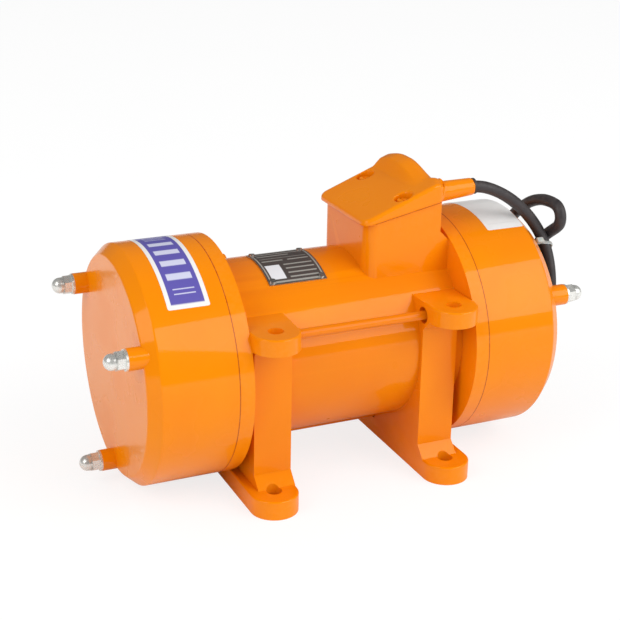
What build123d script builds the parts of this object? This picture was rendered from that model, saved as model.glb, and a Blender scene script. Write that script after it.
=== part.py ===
from build123d import *
import math
import os

# Plate vibration motor. Millimetres. X runs along the motor axis towards the cable end, Z is up, and the
# origin lies on the underside, in the middle of the four foot holes.

# Main castings
axis_height = 98.0
seam_offset = 102.5
flange_thickness = 11.0
drum_diameter = 185.0
barrel_diameter = 140.0
stator_bore_seat = 120.0
shield_seat_diameter = 148.0
shield_thickness = 6.0

# Feet, legs and lugs
hole_spacing_x = 146.0
hole_spacing_y = 170.0
mounting_hole_diameter = 12.0
bracket_width = 37.0
leg_width = 30.0
leg_span_y = 146.0
foot_thickness = 15.0
lug_top_rise = 45.7
lug_thickness = 13.0
leg_wall = 9.0
gusset_size = 9.0
pad_edge_radius = 1.5

# Through studs with their cast bosses, washers and domed nuts
stud_count = 3
stud_circle_radius = 80.0
stud_first_angle = 26.0
stud_thread_diameter = 8.0
stud_shank_diameter = 7.2
stud_hole_diameter = 9.0
stud_thread_length = 30.0
stud_end_gap = 1.0
washer_bore_gap = 0.3
stud_boss_diameter = 18.0
stud_recess_diameter = 13.0
stud_recess_depth = 8.0
washer_diameter = 16.0
washer_thickness = 1.6
nut_flats = 13.0
nut_hex_height = 6.5
nut_dome_diameter = 12.4
nut_dome_wall_height = 2.3
nut_thread_depth = 11.0

# Drum covers
cover_face_offset = 170.0
cover_wall = 5.0
cover_end_wall = 6.0
cover_chamfer_radial = 8.0
cover_chamfer_axial = 9.0
cover_boss_diameter = 16.5
cover_boss_height = 10.5
cover_edge_radius = 2.0
gasket_thickness = 0.8

# Running gear
bearing_bore = 30.0
bearing_diameter = 72.0
bearing_width = 19.0
bearing_inner_offset = 82.0
ball_diameter = 12.3
ball_count = 8
inner_ring_land = 42.0
outer_ring_land = 60.0
groove_clearance = 0.08
cage_thickness = 3.2
cage_width = 14.4
cage_pocket_clearance = 0.15
hub_wall = 10.0
shaft_core_diameter = 36.0
shaft_weight_diameter = 28.0
shaft_thread_diameter = 24.0
shaft_end_offset = 160.0
cap_thickness = 6.0
cap_bore_gap = 0.5
cap_screw_count = 4
cap_screw_diameter = 5.0
cap_screw_sink = 3.5
shield_screw_count = 6
shield_screw_diameter = 5.0
shield_screw_circle = 130.0
shield_screw_first_angle = 30.0
cap_screw_first_angle = 45.0
screw_thread_length = 12.0
screw_end_gap = 1.0
spacer_length = 9.0
spacer_diameter = 37.0
weight_radius = 62.0
weight_hub_diameter = 50.0
fixed_weight_thickness = 20.0
set_weight_thickness = 18.0
weight_gap = 0.5
clamp_slot_width = 3.0
clamp_screw_diameter = 8.0
clamp_ear_half_width = 16.0
clamp_ear_rise = 4.0
clamp_head_flats = 13.0
clamp_head_height = 5.0
clamp_screw_overhang = 4.0
key_width = 8.0
key_height = 7.0
key_depth = 4.0
end_washer_diameter = 44.0
end_washer_thickness = 2.5
end_nut_flats = 36.0
end_nut_height = 8.0
seat_gap = 0.02
running_gap = 0.05
screw_clearance = 0.3
head_ratio = 0.8

# Stator and rotor
stator_length = 90.0
stator_bore = 69.6
stator_slot_count = 18
slot_depth = 14.0
slot_width = 6.0
winding_reach = 22.0
winding_clearance = 7.0
air_gap = 0.6
end_ring_length = 9.0
end_ring_inner_diameter = 44.0
blade_count = 8
blade_thickness = 2.4
blade_inset = 1.0
winding_slot_gap = 0.3
winding_ring_gap = 2.0

# Terminal box
box_left = 21.0
box_right = 84.0
box_shoulder_drop = 3.5
box_half_width = 40.0
box_wall = 6.0
box_corner_radius = 9.0
box_headroom = 92.0
rim_rise_left = 28.5
rim_slope_degrees = 11.6
box_gasket_thickness = 1.0
lid_overhang_left = 4.0
lid_overhang_right = 3.0
lid_overhang_side = 2.5
lid_left_thickness = 4.5
lid_top_slope_degrees = 21.5
lid_shell = 4.5
lid_edge_radius = 2.5
lid_screw_inset_x = 30.0
lid_screw_inset_y = 7.0
lid_screw_length = 18.0
lid_screw_slot_width = 1.4
lid_screw_slot_depth = 1.2
lid_thread_depth = 16.0
lid_screw_diameter = 5.0
lid_screw_head_diameter = 9.5
lid_screw_head_height = 3.5
lid_pocket_diameter = 14.0
lid_pocket_floor = 5.0
lid_post_diameter = 12.0
spout_inset = 9.0
spout_root_depth = 10.0
spout_root_rise = 4.5311
spout_rise_degrees = 3.0
spout_end_x = 115.0
spout_root_diameter = 17.0
spout_end_diameter = 13.5
lead_hole_diameter = 14.0
lead_hole_x = 72.0
terminal_pad_rise = 4.0
terminal_stud_root = 4.0
terminal_fence_height = 4.0
terminal_fence_thickness = 2.0
terminal_pad_margin = 3.0
terminal_pad_half_width = 12.0
terminal_block_length = 40.0
terminal_block_width = 30.0
terminal_block_height = 12.0
terminal_pitch_x = 13.0
terminal_pitch_y = 14.0
terminal_stud_diameter = 5.0
terminal_stud_reach = 9.0
terminal_nut_flats = 8.0
terminal_nut_height = 4.0
link_thickness = 1.0
link_width = 8.0
link_overhang = 5.0
link_hole_gap = 0.2

# Nameplate on the barrel
plate_left = -57.0
plate_right = -10.0
plate_first_angle = 60.0
plate_last_angle = 101.0
plate_thickness = 0.8
plate_gap = 0.1
rivet_diameter = 2.5
rivet_head_diameter = 4.6
rivet_head_height = 1.2
rivet_inset = 3.5
rivet_length = 4.0

# Cable
cord_diameter = 9.5
bush_lip = 2.0
bush_length = 18.0
bush_lip_diameter = 12.6
spout_bore_diameter = 11.2
coil_centre_y = -1.5
coil_centre_z = 117.0
coil_turns = 3
coil_middle_radius = 47.5
coil_standoff = 1.8
tie_angle = 126.6
tie_cord_radius = 54.3
tie_cord_x = 186.3
tie_width = 4.5
tie_thickness = 1.1
tie_clearance = 0.15
tie_head_length = 7.0
tie_head_height = 4.5
core_diameter = 2.6
core_length = 32.0
core_circle_radius = 2.1
core_count = 4
cord_entry_x = 104.0
cord_exit_x = 119.0

# The cable's free stretches: from the spout over the cover's edge into the coil, and from the coil up in the
# small loop and down to its end
lead_route = [
    (135.0, -30.7, 213.4), (152.0, -30.2, 204.0), (168.0, -29.8, 190.5), (180.3, -30.0, 175.5),
    (187.0, -33.5, 160.5), (187.6, -40.5, 146.0), (187.0, -45.5, 128.5), (186.6, -43.5, 110.0),
    (184.0, -34.5, 93.5), (180.0, -20.5, 84.0),
]
tail_route = [
    (178.5, 50.5, 92.0), (183.0, 55.0, 113.0), (188.5, 49.0, 136.0), (191.0, 36.0, 158.0), (192.5, 20.0, 176.0),
    (192.5, 3.0, 188.0), (192.5, -13.5, 194.5), (192.5, -25.5, 196.1), (192.5, -35.8, 195.9),
    (192.5, -41.4, 192.3), (192.5, -43.5, 186.0), (192.5, -41.5, 179.7), (192.5, -32.3, 173.2),
    (192.2, -21.4, 164.8), (190.5, -12.0, 151.0), (189.0, -6.5, 133.5), (188.3, -5.0, 114.0), (188.0, -6.0, 95.0),
]

# Values that follow from the ones above
drum_radius = drum_diameter / 2
barrel_radius = barrel_diameter / 2
barrel_top = axis_height + barrel_radius
lug_top_height = axis_height + lug_top_rise
winding_outer_diameter = stator_bore_seat - 2 * winding_clearance
flange_inner = seam_offset - flange_thickness
bracket_inner = flange_inner - bracket_width
bearing_end = bearing_inner_offset + bearing_width
shield_inner = seam_offset - shield_thickness
cap_end = seam_offset + cap_thickness
cover_start = seam_offset + gasket_thickness
stud_seat = cover_face_offset + cover_boss_height
nut_seat = stud_seat + washer_thickness
stud_angles = [stud_first_angle + 360 * i / stud_count for i in range(stud_count)]
stud_places = [
    (-stud_circle_radius * math.cos(math.radians(a)), stud_circle_radius * math.sin(math.radians(a)))
    for a in stud_angles
]
rim_slope = math.tan(math.radians(rim_slope_degrees))
lid_slope = math.tan(math.radians(lid_top_slope_degrees))
box_shoulder_height = axis_height + drum_radius - box_shoulder_drop
box_ceiling = barrel_top + box_headroom
rim_height_left = barrel_top + rim_rise_left
lid_left = box_left - lid_overhang_left
lid_right = box_right + lid_overhang_right
lid_half_width = box_half_width + lid_overhang_side
lid_screw_x = box_right - lid_screw_inset_x
lid_screw_y = box_half_width - lid_screw_inset_y
spout_y = spout_inset - box_half_width
lid_under_right = rim_height_left + (lid_right - lid_left) * rim_slope + box_gasket_thickness
spout_root_height = lid_under_right + spout_root_rise
terminal_pad_top = barrel_top + terminal_pad_rise
weight_start = bearing_end + spacer_length
set_weight_start = weight_start + fixed_weight_thickness + weight_gap
washer_start = set_weight_start + set_weight_thickness + weight_gap


def turned(points):
    """A solid turned about the motor axis, from (x, radius) points."""
    outline = make_face(Polyline(*[(x, 0, r) for x, r in points], close=True))
    return Pos(0, 0, axis_height) * revolve(outline, Axis.X)


def rod(radius, start, end, y=0.0, z=0.0):
    """A round bar along X, at y and z from the motor axis."""
    return Pos((start + end) / 2, y, axis_height + z) * Rot(0, 90, 0) * Cylinder(radius, end - start)


def pipe(outer, inner, start, end, y=0.0, z=0.0):
    """A tube along X, by its two radii."""
    return rod(outer, start, end, y, z) - rod(inner, start - 1, end + 1, y, z)


def block(x0, x1, y0, y1, z0, z1):
    """A rectangular block by its limits."""
    return Pos((x0 + x1) / 2, (y0 + y1) / 2, (z0 + z1) / 2) * Box(x1 - x0, y1 - y0, z1 - z0)


def post(radius, x, y, z0, z1):
    """An upright round bar."""
    return Pos(x, y, (z0 + z1) / 2) * Cylinder(radius, z1 - z0)


def other_end(shape):
    """The same piece at the other end of the motor."""
    return mirror(shape, Plane.YZ)


def around(radius, count, first=0.0):
    """Places around the motor axis, as y and z from it."""
    turns = [math.radians(first + 360 * i / count) for i in range(count)]
    return [(radius * math.cos(t), radius * math.sin(t)) for t in turns]


def write(name, shapes):
    """Writes one node, a single solid or a group of them."""
    group = shapes if isinstance(shapes, list) else [shapes]
    export_step(Compound(children=[s for g in group for s in g.solids()]), f"parts/{name}.step")


def rim_height(x):
    """Height of the terminal box's sloping rim."""
    return rim_height_left + (x - lid_left) * rim_slope


def lid_height(x):
    """Height of the lid's sloping top."""
    return rim_height(lid_left) + box_gasket_thickness + lid_left_thickness + (x - lid_left) * lid_slope


# Cast housing

def rounded_pad(y_end, z0, z1, x0, x1):
    """A plate along Y whose end is a half round as wide as the plate, centred on the hole's line."""
    radius = (x1 - x0) / 2
    side = 1 if y_end > 0 else -1
    middle = (x0 + x1) / 2
    plate = block(x0, x1, min(0, side * abs(y_end)), max(0, side * abs(y_end)), z0, z1)
    plate += post(radius, middle, y_end, z0, z1)
    edges = plate.faces().sort_by(Axis.Z)[-1].edges().filter_by(GeomType.CIRCLE)
    return fillet(edges, pad_edge_radius)


def bracket():
    """The right-hand pair of legs: foot bar, web, upper lugs, gussets and stud bosses."""
    hole_y = hole_spacing_y / 2
    leg_y = leg_span_y / 2
    inner, outer = bracket_inner, flange_inner
    leg_outer = inner + leg_width
    body = block(inner, leg_outer, -leg_y, leg_y, 0, lug_top_height)
    for side in (-1, 1):
        body += rounded_pad(side * hole_y, 0, foot_thickness, inner, outer)
        body += rounded_pad(side * hole_y, lug_top_height - lug_thickness, lug_top_height, inner, outer)
        low = [(leg_y - 1, foot_thickness - 1), (leg_y + gusset_size, foot_thickness - 1),
               (leg_y + gusset_size, foot_thickness), (leg_y, foot_thickness + gusset_size),
               (leg_y - 1, foot_thickness + gusset_size)]
        lug_under = lug_top_height - lug_thickness
        high = [(leg_y - 1, lug_under + 1), (leg_y + gusset_size, lug_under + 1),
                (leg_y + gusset_size, lug_under), (leg_y, lug_under - gusset_size),
                (leg_y - 1, lug_under - gusset_size)]
        for outline in (low, high):
            face = make_face(Polyline(*[(inner, side * y, z) for y, z in outline], close=True))
            body += extrude(face, leg_width, dir=(1, 0, 0))
    for y, z in stud_places[:2]:
        body += rod(stud_boss_diameter / 2, inner, outer, y, z)
    return body - block(inner + leg_wall, leg_outer - leg_wall, leg_wall - leg_y, leg_y - leg_wall, -1, axis_height)


def terminal_box_walls():
    """The solid block of the terminal box, up to its sloping rim."""
    base = axis_height
    shoulder = box_shoulder_height - (flange_inner - box_right)
    outline = [(box_left, base), (flange_inner, base), (flange_inner, shoulder), (box_right, box_shoulder_height),
               (box_right, rim_height(box_right)), (box_left, rim_height(box_left))]
    face = make_face(Polyline(*[(x, -box_half_width, z) for x, z in outline], close=True))
    walls = extrude(face, 2 * box_half_width, dir=(0, 1, 0))
    left_corners = walls.edges().filter_by(Axis.Z).sort_by(Axis.X)[:2]
    return fillet(left_corners, box_corner_radius)


def terminal_box_hollow():
    """The room inside the terminal box, above the barrel wall."""
    left, right = box_left + box_wall, box_right - box_wall
    room = block(left, right, box_wall - box_half_width, box_half_width - box_wall, axis_height, box_ceiling)
    room -= rod(barrel_radius, left - 1, right + 1)
    pad_start = terminal_middle() - terminal_block_length / 2 - terminal_pad_margin
    pad_end = terminal_middle() + terminal_block_length / 2 + terminal_pad_margin
    room -= block(pad_start, pad_end, -terminal_pad_half_width, terminal_pad_half_width, axis_height,
                  terminal_pad_top)
    for y in (-lid_screw_y, lid_screw_y):
        room -= post(lid_post_diameter / 2, lid_screw_x, y, axis_height, box_ceiling)
    return room


def motor_housing():
    """One casting: barrel, both flanges, two brackets and the terminal box."""
    body = turned([
        (-seam_offset, 0), (-seam_offset, drum_radius), (-flange_inner, drum_radius),
        (-flange_inner, barrel_radius), (flange_inner, barrel_radius), (flange_inner, drum_radius),
        (seam_offset, drum_radius), (seam_offset, 0),
    ])
    right = bracket()
    body += right
    body += other_end(right)
    body += terminal_box_walls()
    body -= terminal_box_hollow()
    body -= rod(stator_bore_seat / 2, -seam_offset - 1, seam_offset + 1)
    for end in (-1, 1):
        near, far = sorted((end * shield_inner, end * (seam_offset + 1)))
        body -= rod(shield_seat_diameter / 2, near, far)
        for y, z in around(shield_screw_circle / 2, shield_screw_count, shield_screw_first_angle):
            near, far = sorted((end * (shield_inner - screw_thread_length), end * seam_offset))
            body -= rod(shield_screw_diameter / 2 + running_gap, near, far, y, z)
        for x in (end * hole_spacing_x / 2,):
            for y in (-hole_spacing_y / 2, hole_spacing_y / 2):
                body -= post(mounting_hole_diameter / 2, x, y, -1, lug_top_height + 10)
    for y, z in stud_places:
        body -= rod(stud_hole_diameter / 2, -seam_offset - 1, seam_offset + 1, y, z)
    for y, z in stud_places[:2]:
        for end in (-1, 1):
            near, far = sorted((end * (bracket_inner - 1), end * (bracket_inner + stud_recess_depth)))
            body -= rod(stud_recess_diameter / 2, near, far, y, z)
    body -= post(lead_hole_diameter / 2, lead_hole_x, 0, axis_height, terminal_pad_top + 1)
    for y in (-lid_screw_y, lid_screw_y):
        top = rim_height(lid_screw_x)
        hole = lid_screw_diameter / 2 + running_gap
        body -= post(hole, lid_screw_x, y, top - lid_thread_depth, box_ceiling)
    return body


# Drum covers and their gaskets

def drum_cover():
    """The right-hand cover: a deep drum with a chamfered face and three cast bosses."""
    inner_radius = drum_radius - cover_wall
    inner_face = cover_face_offset - cover_end_wall
    shell = turned([
        (cover_start, drum_radius), (cover_face_offset - cover_chamfer_axial, drum_radius),
        (cover_face_offset, drum_radius - cover_chamfer_radial), (cover_face_offset, 0),
        (inner_face, 0), (inner_face, inner_radius - cover_chamfer_radial),
        (inner_face - cover_chamfer_axial, inner_radius), (cover_start, inner_radius),
    ])
    outer_edges = [e for e in shell.edges().filter_by(GeomType.CIRCLE)
                   if e.radius > inner_radius - cover_chamfer_radial + 0.5
                   and e.center().X > inner_face - cover_chamfer_axial + 0.5]
    shell = fillet(outer_edges, cover_edge_radius)
    for y, z in stud_places:
        shell += rod(cover_boss_diameter / 2, cover_start, stud_seat, y, z)
    for y, z in stud_places:
        shell -= rod(stud_hole_diameter / 2, cover_start - 1, stud_seat + 1, y, z)
    return shell


def cover_gasket():
    """A flat ring with an ear round each stud."""
    ring = pipe(drum_radius - running_gap, drum_radius - cover_wall, seam_offset, cover_start)
    for y, z in stud_places:
        ring += rod(cover_boss_diameter / 2, seam_offset, cover_start, y, z)
    for y, z in stud_places:
        ring -= rod(stud_hole_diameter / 2, seam_offset - 1, cover_start + 1, y, z)
    return ring


# Studs, washers and domed nuts

def through_stud(y, z):
    end = nut_seat + nut_thread_depth - stud_end_gap
    shank = end - stud_thread_length
    bar = rod(stud_shank_diameter / 2, -shank, shank, y, z)
    for side in (-1, 1):
        near, far = sorted((side * shank, side * end))
        bar += rod(stud_thread_diameter / 2, near, far, y, z)
    return bar


def washer(y, z):
    return pipe(washer_diameter / 2, stud_hole_diameter / 2 - washer_bore_gap, stud_seat, nut_seat, y, z)


def hexagon(flats, height):
    """A hexagonal prism along X that starts at the origin."""
    return Rot(0, 90, 0) * extrude(RegularPolygon(flats / 2, 6, major_radius=False), height)


def domed_nut(y, z):
    """A hexagon with a short neck and a half-round cap, threaded from behind."""
    crown = nut_dome_diameter / 2
    neck_end = nut_seat + nut_hex_height + nut_dome_wall_height
    nut = Pos(nut_seat, y, axis_height + z) * hexagon(nut_flats, nut_hex_height)
    nut += rod(crown, nut_seat, neck_end, y, z)
    nut += Pos(neck_end, y, axis_height + z) * Sphere(crown)
    return nut - rod(stud_thread_diameter / 2 + seat_gap, nut_seat - 1, nut_seat + nut_thread_depth, y, z)


# Bearings and end shields

def bearing_outer():
    ring = pipe(bearing_diameter / 2, outer_ring_land / 2, bearing_inner_offset, bearing_end)
    return ring - groove()


def bearing_inner():
    ring = pipe(inner_ring_land / 2, bearing_bore / 2 + seat_gap, bearing_inner_offset, bearing_end)
    return ring - groove()


def groove():
    """The round raceway that both rings share."""
    pitch = (inner_ring_land + outer_ring_land) / 4
    middle = (bearing_inner_offset + bearing_end) / 2
    return Pos(middle, 0, axis_height) * Rot(0, 90, 0) * Torus(pitch, ball_diameter / 2 + groove_clearance)


def bearing_balls():
    pitch = (inner_ring_land + outer_ring_land) / 4
    middle = (bearing_inner_offset + bearing_end) / 2
    return [Pos(middle, y, axis_height + z) * Sphere(ball_diameter / 2) for y, z in around(pitch, ball_count)]


def bearing_cage():
    """A band between the rings with a round pocket for each ball."""
    pitch = (inner_ring_land + outer_ring_land) / 4
    middle = (bearing_inner_offset + bearing_end) / 2
    ring = pipe(pitch + cage_thickness / 2, pitch - cage_thickness / 2, middle - cage_width / 2,
                middle + cage_width / 2)
    pocket = Cylinder(ball_diameter / 2 + cage_pocket_clearance, 2 * cage_thickness)
    for y, z in around(pitch, ball_count):
        ring -= Plane(origin=(middle, y, axis_height + z), z_dir=(0, y, z)) * pocket
    return ring


def end_shield():
    """A plate in the flange's seat, with the hub that holds the bearing."""
    seat = bearing_diameter / 2 + seat_gap
    hub = bearing_diameter / 2 + hub_wall
    lip = bearing_inner_offset - 3
    shield = turned([
        (lip, seat - 4), (lip, hub), (shield_inner - 6, hub), (shield_inner - 6, stator_bore_seat / 2 - seat_gap),
        (shield_inner, stator_bore_seat / 2 - seat_gap), (shield_inner, shield_seat_diameter / 2 - seat_gap),
        (seam_offset, shield_seat_diameter / 2 - seat_gap), (seam_offset, seat),
        (bearing_inner_offset, seat), (bearing_inner_offset, seat - 4),
    ])
    shield -= turned([
        (shield_inner - 7, hub + 3), (shield_inner - 7, stator_bore_seat / 2 - 4),
        (shield_inner - 0.5, stator_bore_seat / 2 - 4), (shield_inner - 0.5, hub + 3),
    ])
    for y, z in around(shield_screw_circle / 2, shield_screw_count, shield_screw_first_angle):
        shield -= rod(shield_screw_diameter / 2 + screw_clearance, shield_inner - 1, seam_offset + 1, y, z)
    for y, z in around(hub - hub_wall / 2, cap_screw_count, cap_screw_first_angle):
        near = seam_offset - screw_thread_length
        shield -= rod(cap_screw_diameter / 2 + running_gap, near, seam_offset + 1, y, z)
    return shield


def bearing_cap():
    hub = bearing_diameter / 2 + hub_wall
    bore = spacer_diameter / 2 + cap_bore_gap
    cap = turned([
        (bearing_end, bearing_diameter / 2 - 4), (bearing_end, bearing_diameter / 2 - seat_gap),
        (seam_offset, bearing_diameter / 2 - seat_gap), (seam_offset, hub), (cap_end, hub), (cap_end, bore),
        (seam_offset, bore), (seam_offset, bearing_diameter / 2 - 4),
    ])
    for y, z in around(hub - hub_wall / 2, cap_screw_count, cap_screw_first_angle):
        cap -= rod(cap_screw_diameter / 2 + screw_clearance, seam_offset - 1, cap_end + 1, y, z)
        cap -= rod(cap_screw_diameter * head_ratio + screw_clearance, cap_end - cap_screw_sink, cap_end + 1, y, z)
    return cap


def socket_screw(diameter, seat, length, y, z):
    """A cap screw along X whose head stands outside the seat."""
    head_height = diameter * head_ratio
    screw = rod(diameter / 2, seat - length, seat, y, z)
    screw += rod(diameter * head_ratio, seat, seat + head_height, y, z)
    socket = Pos(seat + head_height / 2, y, axis_height + z) * hexagon(diameter * head_ratio, diameter)
    return screw - socket


def shield_screws():
    return [socket_screw(shield_screw_diameter, seam_offset, screw_thread_length - screw_end_gap, y, z)
            for y, z in around(shield_screw_circle / 2, shield_screw_count, shield_screw_first_angle)]


def cap_screws():
    hub = bearing_diameter / 2 + hub_wall
    return [socket_screw(cap_screw_diameter, cap_end - cap_screw_sink, screw_thread_length, y, z)
            for y, z in around(hub - hub_wall / 2, cap_screw_count, cap_screw_first_angle)]


# Shaft, rotor and eccentric weights

def rotor_shaft():
    """The stepped shaft with a keyway under each fixed weight."""
    steps = [(bearing_inner_offset, shaft_core_diameter), (bearing_end + 0.5, bearing_bore),
             (washer_start, shaft_weight_diameter), (shaft_end_offset, shaft_thread_diameter)]
    right = [(0.0, 0.0), (0.0, shaft_core_diameter / 2)]
    for end, diameter in steps:
        right += [(right[-1][0], diameter / 2), (end, diameter / 2)]
    right += [(shaft_end_offset, 0.0)]
    half = turned([p for i, p in enumerate(right) if i == 0 or p != right[i - 1]])
    half -= keyway_bar(seat_gap)
    return half + other_end(half)


def keyway_bar(extra):
    """The key's block on top of the shaft, inside the fixed weight."""
    top = axis_height + shaft_weight_diameter / 2
    start, end = weight_start + 2, weight_start + fixed_weight_thickness - 2
    return block(start - extra, end + extra, -key_width / 2 - extra, key_width / 2 + extra,
                 top - key_depth - extra, top - key_depth + key_height + extra)


def weight_blank(start, thickness):
    """A half disc that hangs below the shaft, with a round hub above it."""
    disc = rod(weight_radius, start, start + thickness)
    disc -= block(start - 1, start + thickness + 1, -weight_radius - 1, weight_radius + 1,
                  axis_height, axis_height + weight_radius + 1)
    hub = rod(weight_hub_diameter / 2, start, start + thickness)
    return disc + hub - rod(shaft_weight_diameter / 2 + running_gap, start - 1, start + thickness + 1)


def fixed_weight():
    return weight_blank(weight_start, fixed_weight_thickness) - keyway_bar(seat_gap)


def clamp_place():
    """The clamp screw's middle: its x and its height above the floor."""
    ear_top = weight_hub_diameter / 2 + clamp_ear_rise
    return set_weight_start + set_weight_thickness / 2, axis_height + (shaft_weight_diameter / 2 + ear_top) / 2


def clamp_bar(radius, near, far):
    """A bar along Y on the clamp screw's line, between two distances from the middle."""
    x, height = clamp_place()
    return Pos(x, (near + far) / 2, height) * Rot(90, 0, 0) * Cylinder(radius, far - near)


def set_weight():
    """The adjustable weight: its hub is split and clamps on the shaft."""
    start, end = set_weight_start, set_weight_start + set_weight_thickness
    ear_top = axis_height + weight_hub_diameter / 2 + clamp_ear_rise
    body = weight_blank(start, set_weight_thickness)
    body += block(start, end, -clamp_ear_half_width, clamp_ear_half_width,
                  axis_height + shaft_weight_diameter / 2 + 1, ear_top)
    body -= block(start - 1, end + 1, -clamp_slot_width / 2, clamp_slot_width / 2,
                  axis_height + shaft_weight_diameter / 4, ear_top + 1)
    body -= rod(shaft_weight_diameter / 2 + running_gap, start - 1, end + 1)
    body -= clamp_bar(clamp_screw_diameter / 2 + screw_clearance, -clamp_ear_half_width - 1, clamp_ear_half_width + 1)
    for side in (-1, 1):
        near, far = sorted((side * clamp_ear_half_width, side * weight_hub_diameter / 2))
        body -= clamp_bar(clamp_head_flats / math.sqrt(3) + screw_clearance, near, far)
    return body


def clamp_screw():
    """The clamp's screw with a hexagon head in front and a nut behind."""
    x, height = clamp_place()
    reach = clamp_ear_half_width + clamp_screw_overhang
    screw = clamp_bar(clamp_screw_diameter / 2, -reach, reach + clamp_head_height / 2)
    head = extrude(RegularPolygon(clamp_head_flats / 2, 6, major_radius=False), clamp_head_height)
    screw += Pos(x, -clamp_ear_half_width, height) * Rot(90, 0, 0) * head
    screw += Pos(x, clamp_ear_half_width, height) * Rot(-90, 0, 0) * head
    return screw


def end_washer():
    bore = shaft_thread_diameter / 2 + screw_clearance
    return pipe(end_washer_diameter / 2, bore, washer_start, washer_start + end_washer_thickness)


def end_nut():
    start = washer_start + end_washer_thickness
    nut = Pos(start, 0, axis_height) * hexagon(end_nut_flats, end_nut_height)
    return nut - rod(shaft_thread_diameter / 2 + seat_gap, start - 1, start + end_nut_height + 1)


def rotor_core():
    half = stator_length / 2
    return pipe(stator_bore / 2 - air_gap, shaft_core_diameter / 2 + seat_gap, -half, half)


def rotor_end_ring():
    """An aluminium end ring of the squirrel cage, with short cooling blades."""
    half = stator_length / 2
    outer = stator_bore / 2 - air_gap
    ring = pipe(outer, end_ring_inner_diameter / 2, half, half + end_ring_length)
    blade = block(half + end_ring_length, half + 2 * end_ring_length, -blade_thickness / 2, blade_thickness / 2,
                  axis_height + end_ring_inner_diameter / 2 + blade_inset, axis_height + outer - blade_inset)
    for i in range(blade_count):
        turn = Rot(360 * i / blade_count, 0, 0)
        ring += Pos(0, 0, axis_height) * turn * Pos(0, 0, -axis_height) * blade
    return ring


def slot_blocks(width, depth, half_length):
    """Radial bars that fill, or cut, the stator's slots."""
    inner = stator_bore / 2
    bar = block(-half_length, half_length, -width / 2, width / 2,
                axis_height + inner - 1, axis_height + inner + depth)
    step = 360 / stator_slot_count
    return [Pos(0, 0, axis_height) * Rot(step * i, 0, 0) * Pos(0, 0, -axis_height) * bar
            for i in range(stator_slot_count)]


def stator_core():
    half = stator_length / 2
    core = pipe(stator_bore_seat / 2 - seat_gap, stator_bore / 2, -half, half)
    for slot in slot_blocks(slot_width, slot_depth, half + 1):
        core -= slot
    return core


def stator_windings():
    """Coil sides in the slots, joined by a bundle of end turns at each end."""
    half = stator_length / 2
    inner = stator_bore / 2
    coil = None
    width, depth = slot_width - 2 * winding_slot_gap, slot_depth - 2 * winding_slot_gap
    for bar in slot_blocks(width, depth, half + winding_ring_gap + 1):
        coil = bar if coil is None else coil + bar
    coil -= rod(inner + 0.4, -half - 4, half + 4)
    for end in (-1, 1):
        near, far = sorted((end * (half + winding_ring_gap), end * (half + winding_reach)))
        coil += pipe(winding_outer_diameter / 2, inner + winding_ring_gap, near, far)
    return coil


# Terminal box pieces

def box_plate(x0, x1, half_width, low, high):
    """A plate whose underside and top follow two height functions of x."""
    outline = [(x0, low(x0)), (x1, low(x1)), (x1, high(x1)), (x0, high(x0))]
    face = make_face(Polyline(*[(x, -half_width, z) for x, z in outline], close=True))
    return extrude(face, 2 * half_width, dir=(0, 1, 0))


def lid_under(x):
    return rim_height(x) + box_gasket_thickness


def spout_frame():
    """Where the spout leaves the lid's thick end, and its direction."""
    rise = math.tan(math.radians(spout_rise_degrees))
    start = Vector(lid_right - spout_root_depth, spout_y, spout_root_height - spout_root_depth * rise)
    end = Vector(spout_end_x, spout_y, spout_root_height + (spout_end_x - lid_right) * rise)
    return start, end


def spout_cone():
    """The spout's tapered outside."""
    start, end = spout_frame()
    cone = Cone(spout_root_diameter / 2, spout_end_diameter / 2, (end - start).length)
    return Plane(origin=(start + end) * 0.5, z_dir=end - start) * cone


def spout_bore():
    """The hole through the spout, open at its end."""
    start, end = spout_frame()
    bore = Cylinder(spout_bore_diameter / 2, (end - start).length + 2)
    return Plane(origin=(start + end) * 0.5, z_dir=end - start) * bore


def terminal_box_gasket():
    sheet = box_plate(box_left, box_right, box_half_width, rim_height, lid_under)
    outline = block(box_left, flange_inner, -box_half_width, box_half_width, axis_height, box_ceiling)
    left_corners = outline.edges().filter_by(Axis.Z).sort_by(Axis.X)[:2]
    sheet &= fillet(left_corners, box_corner_radius)
    ring = sheet - block(box_left + box_wall, box_right - box_wall, box_wall - box_half_width,
                         box_half_width - box_wall, axis_height, box_ceiling)
    for y in (-lid_screw_y, lid_screw_y):
        ring += sheet & post(lid_post_diameter / 2, lid_screw_x, y, axis_height, box_ceiling)
        ring -= post(lid_screw_diameter / 2 + screw_clearance, lid_screw_x, y, axis_height, box_ceiling)
    return ring


def terminal_box_lid():
    """A wedge-shaped lid, thick at the cable end, with a tapered cable spout and two screw pockets."""
    lid = box_plate(lid_left, lid_right, lid_half_width, lid_under, lid_height)
    lid = fillet(lid.edges().filter_by(Axis.Z), 3 * lid_edge_radius)
    top = max(lid.faces(), key=lambda face: face.normal_at().Z)
    lid = fillet(top.edges(), lid_edge_radius)
    lid += spout_cone() - block(lid_screw_x, box_right + screw_clearance, -lid_half_width, lid_half_width,
                                axis_height, lid_under(box_right + screw_clearance))

    def room_top(x):
        return lid_height(x) - lid_shell

    room_left = lid_screw_x + lid_pocket_diameter / 2 + lid_shell / 2
    room = box_plate(room_left, box_right - box_wall, box_half_width - box_wall, lid_under, room_top)
    lid -= room
    lid -= spout_bore()
    floor = lid_under(lid_screw_x) + lid_pocket_floor
    for y in (-lid_screw_y, lid_screw_y):
        lid -= post(lid_pocket_diameter / 2, lid_screw_x, y, floor, box_ceiling)
        lid -= post(lid_screw_diameter / 2 + screw_clearance, lid_screw_x, y, axis_height, box_ceiling)
    return lid


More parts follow.
